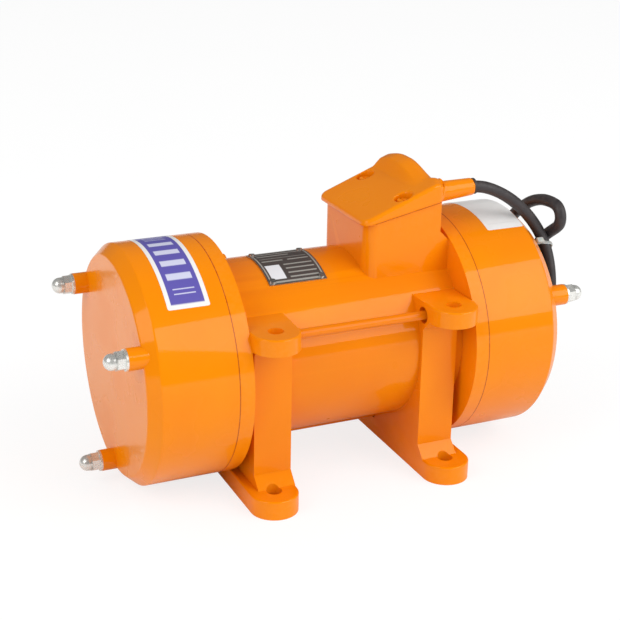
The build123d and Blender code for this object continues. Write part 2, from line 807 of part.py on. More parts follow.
def lid_screw(y):
    """A cheese-head screw with a driving slot."""
    floor = lid_under(lid_screw_x) + lid_pocket_floor
    screw = post(lid_screw_diameter / 2, lid_screw_x, y, floor - lid_screw_length, floor)
    screw += post(lid_screw_head_diameter / 2, lid_screw_x, y, floor, floor + lid_screw_head_height)
    half, head = lid_screw_slot_width / 2, lid_screw_head_diameter
    slot_floor = floor + lid_screw_head_height - lid_screw_slot_depth
    slot = block(lid_screw_x - half, lid_screw_x + half, y - head, y + head, slot_floor,
                 floor + lid_screw_head_height + 1)
    return screw - slot


def cord_bush():
    """The rubber bush that closes the spout round the cable."""
    start, end = spout_frame()
    along = (end - start).normalized()
    sleeve = Plane(origin=end + along * (bush_lip - bush_length) / 2, z_dir=along) * Cylinder(
        spout_bore_diameter / 2 - seat_gap, bush_length + bush_lip)
    sleeve += Plane(origin=end + along * (bush_lip / 2), z_dir=along) * Cylinder(bush_lip_diameter / 2, bush_lip)
    hole = Plane(origin=end, z_dir=along) * Cylinder(cord_diameter / 2 + seat_gap, 4 * bush_length)
    return sleeve - hole


# Cable, coil and tie

def spout_point(x):
    """The spout's middle line at x."""
    return (x, spout_y, spout_root_height + (x - lid_right) * math.tan(math.radians(spout_rise_degrees)))


def cord_tube(points):
    """A round cable along straight runs joined by tangent arcs."""
    radii = []
    for before, here, after in zip(points, points[1:], points[2:]):
        arriving, leaving = Vector(*here) - Vector(*before), Vector(*after) - Vector(*here)
        half_turn = math.radians(arriving.get_angle(leaving)) / 2
        radii.append(0.45 * min(arriving.length, leaving.length) / math.tan(half_turn))
    print("cable radii:", [round(r, 1) for r in radii])
    path = FilletPolyline(*points, radius=radii)
    tube = sweep(Plane(origin=path @ 0, z_dir=path % 0) * Circle(cord_diameter / 2), path)
    print("cable volume over section times length:",
          round(tube.volume / (math.pi * cord_diameter ** 2 / 4 * path.length), 4))
    return tube


def power_cord():
    return cord_tube([spout_point(cord_entry_x), spout_point(cord_exit_x)] + lead_route)


def coil_x():
    return cover_face_offset + coil_standoff + cord_diameter / 2


def cord_coil():
    """The outer shape of the coiled part of the cable, flat behind the right-hand cover."""
    slot = SlotCenterToCenter((coil_turns - 1) * cord_diameter, cord_diameter)
    place = Plane(origin=(coil_x(), coil_centre_y, coil_centre_z + coil_middle_radius), x_dir=(0, 0, 1),
                  z_dir=(0, -1, 0))
    return revolve(place * slot, Axis((0, coil_centre_y, coil_centre_z), (1, 0, 0)))


def tie_loop(growth):
    """The outline that holds the coil's section and the cable on top of it, in the tie's own plane."""
    half_span = (coil_turns - 1) * cord_diameter / 2
    places = [(coil_middle_radius - half_span, coil_x()), (coil_middle_radius + half_span, coil_x()),
              (tie_cord_radius, tie_cord_x)]
    rings = [Pos(r, x) * Circle(cord_diameter / 2 + growth) for r, x in places]
    outline = make_face(make_hull([edge for ring in rings for edge in ring.edges()]))
    return extrude(outline, tie_width / 2, both=True)


def cable_tie():
    """A flat tie round the coil and the cable, with its small head outside the coil."""
    turn = math.radians(tie_angle)
    radial = (0, math.cos(turn), math.sin(turn))
    place = Plane(origin=(0, coil_centre_y, coil_centre_z), x_dir=radial, z_dir=(0, math.sin(turn), -math.cos(turn)))
    side = 1 if place.y_dir.X > 0 else -1
    if side < 0:
        place = Plane(origin=place.origin, x_dir=radial, z_dir=-place.z_dir)
    band = tie_loop(tie_clearance + tie_thickness)
    outer = coil_middle_radius + (coil_turns - 1) * cord_diameter / 2 + cord_diameter / 2 + tie_clearance
    band += Pos(outer + tie_head_height / 2, coil_x(), 0) * Box(tie_head_height, tie_head_length, tie_width + 1)
    return place * (band - tie_loop(tie_clearance))


def cord_core_ends():
    """The four insulated cores that stand out of the cable's cut end."""
    end, before = Vector(*tail_route[-1]), Vector(*tail_route[-2])
    along = (end - before).normalized()
    place = Plane(origin=end, z_dir=along)
    return [place * Pos(core_circle_radius * math.cos(a), core_circle_radius * math.sin(a), core_length / 2)
            * Cylinder(core_diameter / 2, core_length)
            for a in [2 * math.pi * i / core_count for i in range(core_count)]]


# Terminal block

def terminal_middle():
    return box_left + box_wall + 2 * terminal_pad_margin + terminal_block_length / 2


def terminal_block():
    x = terminal_middle()
    base = block(x - terminal_block_length / 2, x + terminal_block_length / 2, -terminal_block_width / 2,
                 terminal_block_width / 2, terminal_pad_top, terminal_pad_top + terminal_block_height)
    for px, py in terminal_places():
        base -= post(terminal_stud_diameter / 2 + seat_gap, px, py, terminal_pad_top + terminal_stud_root,
                     box_ceiling)
    for i in (-0.5, 0.5):
        wall_x = x + i * terminal_pitch_x
        half, block_top = terminal_fence_thickness / 2, terminal_pad_top + terminal_block_height
        base += block(wall_x - half, wall_x + half, -terminal_block_width / 2, terminal_block_width / 2,
                      block_top, block_top + terminal_fence_height)
    return base


def terminal_places():
    x = terminal_middle()
    return [(x + i * terminal_pitch_x, j * terminal_pitch_y / 2) for i in (-1, 0, 1) for j in (-1, 1)]


def terminal_studs():
    top = terminal_pad_top + terminal_block_height
    foot = terminal_pad_top + terminal_stud_root
    return [post(terminal_stud_diameter / 2, x, y, foot, top + terminal_stud_reach)
            for x, y in terminal_places()]


def terminal_nuts():
    base = terminal_pad_top + terminal_block_height + link_thickness
    nuts = []
    for x, y in terminal_places():
        nut = Pos(x, y, base) * extrude(RegularPolygon(terminal_nut_flats / 2, 6, major_radius=False),
                                        terminal_nut_height)
        nuts.append(nut - post(terminal_stud_diameter / 2 + seat_gap, x, y, base - 1, box_ceiling))
    return nuts


def terminal_links():
    """A brass link across each pair of terminals."""
    base = terminal_pad_top + terminal_block_height
    x = terminal_middle()
    links = []
    for i in (-1, 0, 1):
        px = x + i * terminal_pitch_x
        reach = terminal_pitch_y / 2 + link_overhang
        bar = block(px - link_width / 2, px + link_width / 2, -reach, reach, base, base + link_thickness)
        for j in (-1, 1):
            bar -= post(terminal_stud_diameter / 2 + link_hole_gap, px, j * terminal_pitch_y / 2, base - 1,
                        box_ceiling)
        links.append(bar)
    return links


# Nameplate and its rivets

def nameplate():
    inner = barrel_radius + plate_gap
    band = pipe(inner + plate_thickness, inner, plate_left, plate_right)
    reach = 2 * barrel_radius
    keep = None
    for angle in (plate_first_angle, plate_last_angle):
        t = math.radians(angle)
        point = (-reach * math.cos(t), reach * math.sin(t))
        keep = [point] if keep is None else keep + [point]
    wedge = make_face(Polyline((plate_left - 1, 0, axis_height),
                               (plate_left - 1, keep[0][0], axis_height + keep[0][1]),
                               (plate_left - 1, keep[1][0], axis_height + keep[1][1]), close=True))
    band &= extrude(wedge, plate_right - plate_left + 2, dir=(1, 0, 0))
    for rivet_hole in rivets(rivet_diameter / 2 + seat_gap, rivet_diameter / 2 + seat_gap, 3):
        band -= rivet_hole
    return band


def rivets(shank, head, head_height):
    """Four drive rivets at the plate's corners, radial to the barrel."""
    margin = math.degrees(rivet_inset / barrel_radius)
    seat = barrel_radius + plate_gap + plate_thickness
    found = []
    for angle in (plate_first_angle + margin, plate_last_angle - margin):
        for x in (plate_left + rivet_inset, plate_right - rivet_inset):
            t = math.radians(angle)
            out = Vector(0, -math.cos(t), math.sin(t))
            foot = Vector(x, 0, axis_height) + out * seat
            body = Plane(origin=foot - out * (rivet_length / 2), z_dir=out) * Cylinder(shank, rivet_length)
            body += Plane(origin=foot + out * (head_height / 2), z_dir=out) * Cylinder(head, head_height)
            found.append(body)
    return found


# Building and writing every piece
os.makedirs("parts", exist_ok=True)

housing = motor_housing()
for rivet_hole in rivets(rivet_diameter / 2 + seat_gap, rivet_diameter / 2 + seat_gap, 1):
    housing -= rivet_hole
write("motor_housing", housing)

pairs = {
    "cover": drum_cover(),
    "cover_gasket": cover_gasket(),
    "end_shield": end_shield(),
    "shield_screws": shield_screws(),
    "bearing_cap": bearing_cap(),
    "cap_screws": cap_screws(),
    "bearing_outer_ring": bearing_outer(),
    "bearing_inner_ring": bearing_inner(),
    "bearing_cage": bearing_cage(),
    "bearing_balls": bearing_balls(),
    "shaft_spacer": pipe(spacer_diameter / 2, bearing_bore / 2 + seat_gap, bearing_end, weight_start),
    "fixed_weight": fixed_weight(),
    "weight_key": keyway_bar(0),
    "set_weight": set_weight(),
    "clamp_screw": clamp_screw(),
}
for name, shape in pairs.items():
    group = shape if isinstance(shape, list) else [shape]
    write(f"{name}_right", group)
    write(f"{name}_left", [other_end(s) for s in group])

for name, pieces in {
    "stud_washers": [washer(y, z) for y, z in stud_places],
    "domed_nuts": [domed_nut(y, z) for y, z in stud_places],
    "shaft_washers": [end_washer()],
    "shaft_nuts": [end_nut()],
    "rotor_end_rings": [rotor_end_ring()],
}.items():
    write(name, pieces + [other_end(s) for s in pieces])

write("through_studs", [through_stud(y, z) for y, z in stud_places])
write("rotor_shaft", rotor_shaft())
write("rotor_core", rotor_core())
write("stator_core", stator_core())
write("stator_windings", stator_windings())
write("terminal_box_gasket", terminal_box_gasket())
write("terminal_box_lid", terminal_box_lid())
write("lid_screws", [lid_screw(y) for y in (-lid_screw_y, lid_screw_y)])
write("terminal_block", terminal_block())
write("terminal_studs", terminal_studs())
write("terminal_nuts", terminal_nuts())
write("terminal_links", terminal_links())
write("cord_bush", cord_bush())
write("power_cord", power_cord())
write("cord_coil", cord_coil())
write("cord_tail", cord_tube(tail_route))
write("cord_core_ends", cord_core_ends())
write("cable_tie", cable_tie())
write("nameplate", nameplate())
write("nameplate_rivets", rivets(rivet_diameter / 2, rivet_head_diameter / 2, rivet_head_height))
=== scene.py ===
"""Vibration motor: paint, metal and rubber finishes, cable, tie, labels and studio on the CAD frame."""

import math

import bmesh
import bpy
from mathutils import Matrix, Vector


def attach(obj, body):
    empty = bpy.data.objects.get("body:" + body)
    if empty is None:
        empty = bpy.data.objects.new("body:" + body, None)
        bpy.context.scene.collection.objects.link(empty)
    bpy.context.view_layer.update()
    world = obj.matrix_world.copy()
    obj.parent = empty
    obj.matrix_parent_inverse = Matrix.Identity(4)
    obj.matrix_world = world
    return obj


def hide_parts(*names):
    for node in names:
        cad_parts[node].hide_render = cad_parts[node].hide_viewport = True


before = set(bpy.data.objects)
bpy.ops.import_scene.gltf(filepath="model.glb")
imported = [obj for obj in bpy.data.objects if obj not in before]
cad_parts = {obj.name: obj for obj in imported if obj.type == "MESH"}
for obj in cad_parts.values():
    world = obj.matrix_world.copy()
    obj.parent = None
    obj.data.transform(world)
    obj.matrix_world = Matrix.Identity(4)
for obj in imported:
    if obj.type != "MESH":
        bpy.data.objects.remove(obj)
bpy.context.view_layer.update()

AXIS_HEIGHT = 0.098
DRUM_RADIUS = 0.0925
BARREL_RADIUS = 0.070
SHEET_PITCH = 0.001

# Camera, as the photograph was taken
CAMERA_PLACE = (-0.4392, -0.9454, 0.5189)
CAMERA_AIM = (0.38774, 0.84938, -0.35806)
CAMERA_AZIMUTH = -24.54
CAMERA_ROLL = 1.10
CAMERA_LENS = 81.7

# Cable: the route of the solids, in metres
CORD_DIAMETER = 0.0095
SPOUT_RUN = [(0.104, -0.031, 0.21729), (0.119, -0.031, 0.21808)]
LEAD_RUN = [(0.1350, -0.0307, 0.2134), (0.1520, -0.0302, 0.2040), (0.1680, -0.0298, 0.1905),
            (0.1803, -0.0300, 0.1755), (0.1870, -0.0335, 0.1605), (0.1876, -0.0405, 0.1460),
            (0.1870, -0.0455, 0.1285), (0.1866, -0.0435, 0.1100), (0.1840, -0.0345, 0.0935),
            (0.1800, -0.0205, 0.0840)]
TAIL_RUN = [(0.1785, 0.0505, 0.0920), (0.1830, 0.0550, 0.1130), (0.1885, 0.0490, 0.1360),
            (0.1910, 0.0360, 0.1580), (0.1925, 0.0200, 0.1760), (0.1925, 0.0030, 0.1880),
            (0.1925, -0.0135, 0.1945), (0.1925, -0.0255, 0.1961), (0.1925, -0.0358, 0.1959),
            (0.1925, -0.0414, 0.1923), (0.1925, -0.0435, 0.1860), (0.1925, -0.0415, 0.1797),
            (0.1925, -0.0323, 0.1732), (0.1922, -0.0214, 0.1648), (0.1905, -0.0120, 0.1510),
            (0.1890, -0.0065, 0.1335), (0.1883, -0.0050, 0.1140), (0.1880, -0.0060, 0.0950)]
COIL_CENTRE_Y = -0.0015
COIL_CENTRE_Z = 0.117
COIL_X = 0.17655
COIL_INNER_RADIUS = 0.0363
COIL_GROWTH = 0.0098
COIL_FIRST_DEGREES = 270
COIL_LAST_DEGREES = 304 + 720
COIL_STEP_DEGREES = 29
COIL_RING_RADII = (0.038, 0.057)

# Cores at the cable's cut end, and the bare strands in them
CORE_LENGTH = 0.032
CORE_DIAMETER = 0.0026
CORE_CIRCLE = 0.0021
CORE_BARE = 0.007
CORE_ROOT = 0.002
CORE_EDGE = 0.0002
CORE_BORE_RADIUS = 0.0010
CORE_BORE_DEPTH = 0.001
STRAND_COUNT = 6
STRAND_CIRCLE = 0.00062
STRAND_RADIUS = 0.0003

# Tie round the coil and the cable
TIE_DEGREES = 126.6
TIE_CORD_RADIUS = 0.0543
TIE_CORD_X = 0.1863
TIE_WIDTH = 0.0030
TIE_THICKNESS = 0.0011
TIE_EDGE = 0.0003
TIE_GAP = 0.00015
TIE_BENDS = 60
TIE_HEAD_SIZE = (0.0042, 0.0060, 0.0044)
TIE_HEAD_EDGE = 0.0007
TIE_HEAD_RISE = 0.00235
RIB_SPACING = 0.0012
RIB_WIDTH = 0.0018
RIB_LENGTH = 0.0005
RIB_HEIGHT = 0.0003

# Terminal box lid: its outline as in the solid
LID_LEFT = 0.017
LID_RIGHT = 0.087
LID_LOW_EDGE = 0.1975
LID_RIM = 0.0045
LID_RIM_SLOPE = 11.6
LID_TOP_SLOPE = 21.5

# The cells that its casting is softened by, and how often they are smoothed
LID_CELL = 0.0007
LID_SMOOTHINGS = 4

# The crown of its casting over the plain slope, highest at the back of the cable's end
CROWN_FOOT = 0.0640
CROWN_BEND = 0.0075
CROWN_MIDDLE = 0.016
CROWN_FLAT = 0.004
CROWN_REACH = 0.045
CROWN_HEIGHT = 0.0078
CROWN_ROUND = 0.0115

# The room round the spout's root, where the crown doesn't reach
SPOUT_SLOPE = 0.05
SPOUT_SEAT = 0.012
SPOUT_REACH = 0.0085
SPOUT_BLEND = 0.004
SPOUT_ROOT = 0.0006

# Labels and the nameplate's film: x from, x to, first and last angle above the front, in degrees
LEFT_LABEL = (-0.1473, -0.1155, 44.5, 108.0)
RIGHT_LABEL = (0.1280, 0.1606, 65.5, 112.0)
LABEL_GAP = 0.00005
LABEL_THICKNESS = 0.00012
PLATE_FILM = (-0.0556, -0.0114, 61.2, 99.8)
FILM_LIFT = 0.00095
FILM_THICKNESS = 0.00005

# Studio: the shell as it lights the motor and as gloss mirrors it, the lamps and the floor
SHELL_GREY = (0.65, 0.65, 0.65, 1)
MIRRORED_GREY = (0.10, 0.10, 0.10, 1)
LAMP_DISTANCE = 3.0
LAMP_AIM_HEIGHT = 0.1
FLOOR_RADIUS = 9.0
FLOOR_GLOW = 1.06
FLOOR_GLOW_SHARE = 0.75

# Colours
WHITE = (1, 1, 1, 1)
ORANGE = (0.89, 0.252, 0.0006, 1)
DEEP_ORANGE = (0.86, 0.216, 0.0006, 1)
# Painted shade: the darker, redder orange of the paint's inner corners.
PAINTED_SHADE_ORANGE = (0.60, 0.085, 0.004, 1)
RUBBED_ORANGE = (0.98, 0.42, 0.10, 1)
SEAM_ORANGE = (0.46, 0.062, 0.002, 1)
DEEP_SEAM_ORANGE = (0.34, 0.040, 0.002, 1)
RUBBED_CASTING = (0.42, 0.42, 0.43, 1)
PALE_PRINT = (0.62, 0.63, 0.80, 1)
LABEL_BLUE = (0.115, 0.095, 0.42, 1)
LABEL_RULE = (0.74, 0.74, 0.74, 1)
LABEL_DUST = (0.55, 0.50, 0.45, 1)
PLATE_DARK = (0.070, 0.055, 0.050, 1)
PLATE_GREY = (0.33, 0.32, 0.29, 1)
PLATE_WHITE = (0.74, 0.75, 0.78, 1)


# Node helpers

VALUE, PLACE, WHOLE = "NodeSocketFloat", "NodeSocketVector", "NodeSocketInt"
SHAPE, FINISH = "NodeSocketGeometry", "NodeSocketMaterial"


def add(tree, kind, inputs=None, **settings):
    """A node of that kind with its settings, and its inputs set or linked."""
    made = tree.nodes.new(kind)
    for name, value in settings.items():
        setattr(made, name, value)
    for key, value in (inputs or {}).items():
        if isinstance(value, bpy.types.NodeSocket):
            tree.links.new(value, made.inputs[key])
        else:
            made.inputs[key].default_value = value
    return made


def group(name, inputs, outputs, kind="ShaderNodeTree"):
    """An empty node group with named sockets: returns the tree, what it is given and what it gives."""
    tree = bpy.data.node_groups.new(name, kind)
    for label, socket_kind, value in inputs:
        socket = tree.interface.new_socket(name=label, in_out="INPUT", socket_type=socket_kind)
        if value is not None:
            socket.default_value = value
    for label, socket_kind in outputs:
        tree.interface.new_socket(name=label, in_out="OUTPUT", socket_type=socket_kind)
    return tree, tree.nodes.new("NodeGroupInput").outputs, tree.nodes.new("NodeGroupOutput").inputs


def use(tree, shared, inputs=None):
    return add(tree, "ShaderNodeGroup", inputs, node_tree=shared)


def own_node(tree, kind):
    """The node of that kind that the tree started with."""
    return next(node for node in tree.nodes if node.type == kind)


def on_object(tree):
    """The place on the object, in metres."""
    return add(tree, "ShaderNodeTexCoord").outputs["Object"]


def calculate(tree, operation, *values, clamp=False):
    inputs = dict(enumerate(values))
    return add(tree, "ShaderNodeMath", inputs, operation=operation, use_clamp=clamp).outputs[0]


def times(tree, first, second):
    return calculate(tree, "MULTIPLY", first, second)


def mixed(tree, share, first, second):
    return add(tree, "ShaderNodeMix", {0: share, 6: first, 7: second}, data_type="RGBA").outputs[2]


def fitted(tree, value, low, high, to_low=0.0, to_high=1.0):
    """The value's range from low to high, laid over another range."""
    inputs = {0: value, 1: low, 2: high, 3: to_low, 4: to_high}
    return add(tree, "ShaderNodeMapRange", inputs, clamp=True).outputs[0]


def noise(tree, place, scale, detail=3.0, roughness=0.5):
    inputs = {"Vector": place, "Scale": scale, "Detail": detail, "Roughness": roughness}
    return add(tree, "ShaderNodeTexNoise", inputs).outputs["Fac"]


# Effects that several finishes share

def sprayed_coat():
    """Orange peel over the lumps of a casting, with slow changes in the paint's depth."""
    tree, given, out = group("sprayed_coat", [
        ("Peel scale", VALUE, 700.0), ("Peel height", VALUE, 0.1),
        ("Casting scale", VALUE, 120.0), ("Casting height", VALUE, 0.3)],
        [("Height", VALUE), ("Depth", VALUE)])
    place = on_object(tree)
    peel = noise(tree, place, given["Peel scale"], 1.0)
    lumps = noise(tree, place, given["Casting scale"], 4.0, 0.6)
    both = calculate(tree, "ADD", times(tree, peel, given["Peel height"]),
                     times(tree, lumps, given["Casting height"]))
    slow = noise(tree, place, 22.0, 3.0)
    tree.links.new(both, out["Height"])
    tree.links.new(fitted(tree, slow, 0.32, 0.68), out["Depth"])
    return tree


def edge_rub_and_corner_shade():
    """Masks for rubbed outer edges, and for inner corners where shade is painted in."""
    tree, given, out = group("edge_rub_and_corner_shade", [("Width", VALUE, 0.05), ("Grain", VALUE, 400.0)],
                             [("Edge", VALUE), ("Corner shade", VALUE)])
    place = on_object(tree)
    bend = add(tree, "ShaderNodeNewGeometry").outputs["Pointiness"]
    grain = noise(tree, place, given["Grain"], 4.0, 0.7)
    high = calculate(tree, "ADD", 0.5, given["Width"])
    low = calculate(tree, "SUBTRACT", 0.5, given["Width"])
    edge = fitted(tree, bend, 0.505, high)
    # Corner mask: where painted shade darkens the inner corners.
    corner = fitted(tree, bend, 0.495, low)
    broken = fitted(tree, grain, 0.42, 0.62)
    tree.links.new(times(tree, edge, broken), out["Edge"])
    tree.links.new(corner, out["Corner shade"])
    return tree


def turned_rings():
    """Fine tool rings round the motor's axis, as on turned and ground parts."""
    tree, given, out = group("turned_rings", [("Pitch", VALUE, 0.0004), ("Unevenness", VALUE, 0.4)],
                             [("Rings", VALUE), ("Sheen", VALUE)])
    place = on_object(tree)
    along, across, up = add(tree, "ShaderNodeSeparateXYZ", {0: place}).outputs
    height = calculate(tree, "SUBTRACT", up, AXIS_HEIGHT)
    squares = calculate(tree, "ADD", times(tree, across, across), times(tree, height, height))
    reach = calculate(tree, "ADD", calculate(tree, "SQRT", squares), along)
    uneven = times(tree, noise(tree, place, 300.0, 2.0), given["Unevenness"])
    turns = calculate(tree, "ADD", calculate(tree, "DIVIDE", reach, given["Pitch"]), uneven)
    wave = calculate(tree, "SINE", times(tree, turns, 2 * math.pi))
    tree.links.new(fitted(tree, wave, -1.0, 1.0), out["Rings"])
    tree.links.new(noise(tree, place, 60.0, 4.0, 0.6), out["Sheen"])
    return tree


def metal_film():
    """Clouds and fine scratches of a plated or rolled surface."""
    tree, given, out = group("metal_film", [("Cloud scale", VALUE, 90.0), ("Scratch scale", VALUE, 900.0),
                                            ("Stretch", PLACE, (1.0, 1.0, 1.0))],
                             [("Cloud", VALUE), ("Scratch", VALUE)])
    place = on_object(tree)
    pulled = add(tree, "ShaderNodeVectorMath", {0: place, 1: given["Stretch"]},
                 operation="MULTIPLY").outputs[0]
    cloud = noise(tree, place, given["Cloud scale"], 4.0, 0.6)
    scratch = noise(tree, pulled, given["Scratch scale"], 2.0, 0.7)
    tree.links.new(fitted(tree, cloud, 0.35, 0.65), out["Cloud"])
    tree.links.new(fitted(tree, scratch, 0.35, 0.65), out["Scratch"])
    return tree


def moulded_skin():
    """The fine matt skin of moulded rubber and plastic, with a little dust on what faces up."""
    tree, given, out = group("moulded_skin", [("Grain scale", VALUE, 2500.0), ("Dust", VALUE, 0.3)],
                             [("Grain", VALUE), ("Dust", VALUE)])
    place = on_object(tree)
    grain = noise(tree, place, given["Grain scale"], 2.0, 0.6)
    normal = add(tree, "ShaderNodeNewGeometry").outputs["Normal"]
    facing = add(tree, "ShaderNodeSeparateXYZ", {0: normal}).outputs[2]
    clouds = fitted(tree, noise(tree, place, 140.0, 4.0, 0.65), 0.40, 0.70)
    dust = times(tree, clouds, fitted(tree, facing, -0.2, 1.0))
    tree.links.new(grain, out["Grain"])
    tree.links.new(times(tree, dust, given["Dust"]), out["Dust"])
    return tree


def printed_field():
    """A soft-edged rectangle on a label's own UV map."""
    tree, given, out = group("printed_field", [
        ("Left", VALUE, 0.0), ("Right", VALUE, 1.0), ("Low", VALUE, 0.0), ("High", VALUE, 1.0),
        ("Soft", VALUE, 0.01)], [("Mask", VALUE)])
    sheet = add(tree, "ShaderNodeUVMap").outputs[0]
    across, along, _ = add(tree, "ShaderNodeSeparateXYZ", {0: sheet}).outputs
    mask = None
    for far, near in ((across, given["Left"]), (given["Right"], across),
                      (along, given["Low"]), (given["High"], along)):
        step = fitted(tree, calculate(tree, "SUBTRACT", far, near), 0.0, given["Soft"])
        mask = step if mask is None else times(tree, mask, step)
    tree.links.new(mask, out["Mask"])
    return tree


COAT = sprayed_coat()
# Edge wear, and a corner mask for painted shade.
RUB_AND_SHADE = edge_rub_and_corner_shade()
RINGS = turned_rings()
FILM = metal_film()
SKIN = moulded_skin()
FIELD = printed_field()


# Finishes

def finish(name, **constants):
    """A material with its shader, and the constants set on the shader's own sockets."""
    material = bpy.data.materials.new(name)
    material.use_nodes = True
    tree = material.node_tree
    shader = own_node(tree, "BSDF_PRINCIPLED")
    for key, value in constants.items():
        shader.inputs[key.replace("_", " ")].default_value = value
    return material, tree, shader.inputs


def bumped(tree, height, strength, distance):
    inputs = {"Height": height, "Strength": strength, "Distance": distance}
    return add(tree, "ShaderNodeBump", inputs).outputs[0]


def surface(tree, shader, colour, roughness, normal):
    """Lays a finish's colour, roughness and relief on its shader."""
    for key, value in (("Base Color", colour), ("Roughness", roughness), ("Normal", normal)):
        tree.links.new(value, shader[key])


def orange_paint(name, lumps, lump_scale, roughness, colour=ORANGE, deep=DEEP_ORANGE, wear_and_shade=1.0):
    """Glossy spray paint over a casting's lumps, with painted shade darkening the corners and thinner paint
    on rubbed edges.
    """
    material, tree, shader = finish(name, Coat_Weight=0.42, Coat_Roughness=0.05, Specular_IOR_Level=0.20,
                                    Specular_Tint=(1.0, 0.62, 0.12, 1))
    coat = use(tree, COAT, {"Peel scale": 620.0, "Peel height": 0.10,
                            "Casting scale": lump_scale, "Casting height": lumps}).outputs
    rub_and_shade = use(tree, RUB_AND_SHADE, {"Width": 0.08, "Grain": 260.0}).outputs
    body = mixed(tree, times(tree, coat["Depth"], 0.55), colour, deep)
    # Painted shade: inner corners are mixed towards a darker, redder orange.
    dust_and_shade = mixed(tree, times(tree, rub_and_shade["Corner shade"], 0.45 * wear_and_shade), body, PAINTED_SHADE_ORANGE)
    thin = mixed(tree, times(tree, rub_and_shade["Edge"], 0.16 * wear_and_shade), dust_and_shade, RUBBED_ORANGE)
    surface(tree, shader, thin, fitted(tree, coat["Depth"], 0.0, 1.0, roughness - 0.04, roughness + 0.07),
            bumped(tree, coat["Height"], 0.35, 0.0006))
    return material


def bare_metal(name, colour, dark, roughness, stretch=(1, 1, 1), scratch=900.0, metal=1.0):
    """Plated or rolled metal with clouds and fine scratches, and painted shade darkening its corners."""
    material, tree, shader = finish(name, Metallic=metal)
    film = use(tree, FILM, {"Scratch scale": scratch, "Stretch": stretch}).outputs
    rub_and_shade = use(tree, RUB_AND_SHADE, {"Width": 0.06, "Grain": 700.0}).outputs
    clouded = mixed(tree, times(tree, film["Cloud"], 0.5), colour, dark)
    # Painted shade: inner corners are mixed towards a darker copy of the metal's tone.
    corner_shade_tone = (*(tone * 0.35 for tone in dark[:3]), 1)
    corner_shaded = mixed(tree, times(tree, rub_and_shade["Corner shade"], 0.6), clouded, corner_shade_tone)
    surface(tree, shader, corner_shaded, fitted(tree, film["Scratch"], 0.0, 1.0, *roughness),
            bumped(tree, film["Scratch"], 0.12, 0.0002))
    return material


def turned_metal(name, colour, dark, pitch, roughness):
    """Steel with tool rings of that pitch."""
    material, tree, shader = finish(name, Metallic=1.0)
    rings = use(tree, RINGS, {"Pitch": pitch}).outputs
    tone = mixed(tree, fitted(tree, rings["Sheen"], 0.35, 0.65), colour, dark)
    surface(tree, shader, tone, fitted(tree, rings["Rings"], 0.0, 1.0, *roughness),
            bumped(tree, rings["Rings"], 0.2, 0.0001))
    return material


def raw_casting(name, colour, dark):
    """Rough cast metal without paint, bright where its edges are rubbed."""
    material, tree, shader = finish(name, Metallic=0.6)
    coat = use(tree, COAT, {"Peel scale": 1500.0, "Peel height": 0.3, "Casting scale": 300.0,
                            "Casting height": 0.9}).outputs
    rub_and_shade = use(tree, RUB_AND_SHADE, {"Width": 0.08, "Grain": 500.0}).outputs
    tone = mixed(tree, coat["Depth"], colour, dark)
    bright = mixed(tree, times(tree, rub_and_shade["Edge"], 0.6), tone, RUBBED_CASTING)
    surface(tree, shader, bright, fitted(tree, coat["Depth"], 0.0, 1.0, 0.5, 0.7),
            bumped(tree, coat["Height"], 0.6, 0.0008))
    return material


def stacked_sheets(name):
    """Core of thin punched steel sheets: fine lines across the motor's axis."""
    material, tree, shader = finish(name, Metallic=0.9)
    along = add(tree, "ShaderNodeSeparateXYZ", {0: on_object(tree)}).outputs[0]
    wave = calculate(tree, "SINE", times(tree, along, 2 * math.pi / SHEET_PITCH))
    line = fitted(tree, wave, -1.0, 0.2)
    film = use(tree, FILM).outputs
    tone = mixed(tree, film["Cloud"], (0.30, 0.31, 0.33, 1), (0.20, 0.20, 0.22, 1))
    surface(tree, shader, mixed(tree, line, (0.06, 0.06, 0.07, 1), tone),
            fitted(tree, film["Scratch"], 0.0, 1.0, 0.35, 0.5), bumped(tree, line, 0.3, 0.0002))
    return material


def enamelled_wire(name):
    """Varnished copper turns that run round the stator's ends."""
    material, tree, shader = finish(name, Coat_Weight=0.6, Coat_Roughness=0.2, Metallic=0.7)
    rings = use(tree, RINGS, {"Pitch": 0.0011, "Unevenness": 1.6}).outputs
    tone = mixed(tree, rings["Rings"], (0.16, 0.035, 0.01, 1), (0.62, 0.19, 0.05, 1))
    surface(tree, shader, tone, fitted(tree, rings["Sheen"], 0.3, 0.7, 0.25, 0.45),
            bumped(tree, rings["Rings"], 0.8, 0.0006))
    return material


def moulded(name, colour, dust_colour, roughness, dust, grain=2500.0, height=0.15, **constants):
    """Rubber or plastic with a fine matt skin and a little dust."""
    material, tree, shader = finish(name, **constants)
    skin = use(tree, SKIN, {"Grain scale": grain, "Dust": dust}).outputs
    surface(tree, shader, mixed(tree, skin["Dust"], colour, dust_colour),
            fitted(tree, skin["Grain"], 0.3, 0.7, roughness - 0.06, roughness + 0.08),
            bumped(tree, skin["Grain"], height, 0.0002))
    return material


def field(tree, left, right, low, high, soft=0.012):
    """Mask of one printed rectangle, in shares of the label's width and length."""
    return use(tree, FIELD, {"Left": left, "Right": right, "Low": low, "High": high, "Soft": soft}).outputs[0]


def bands(tone, left, right, height, soft, *lows):
    """Printed rectangles of one colour, width and height, one over the other."""
    return [(tone, (left, right, low, low + height, soft)) for low in lows]


def printed_label(name, paper, fields, roughness=0.3):
    """A label whose fields, each a colour and a rectangle, are printed over its paper."""
    material, tree, shader = finish(name, Coat_Weight=0.3, Coat_Roughness=0.15)
    skin = use(tree, SKIN, {"Grain scale": 1400.0, "Dust": 0.12}).outputs
    colour = mixed(tree, skin["Dust"], paper, LABEL_DUST)
    for tone, place in fields:
        colour = mixed(tree, field(tree, *place), colour, tone)
    surface(tree, shader, colour, fitted(tree, skin["Grain"], 0.3, 0.7, roughness, roughness + 0.1),
            bumped(tree, skin["Grain"], 0.1, 0.0001))
    return material


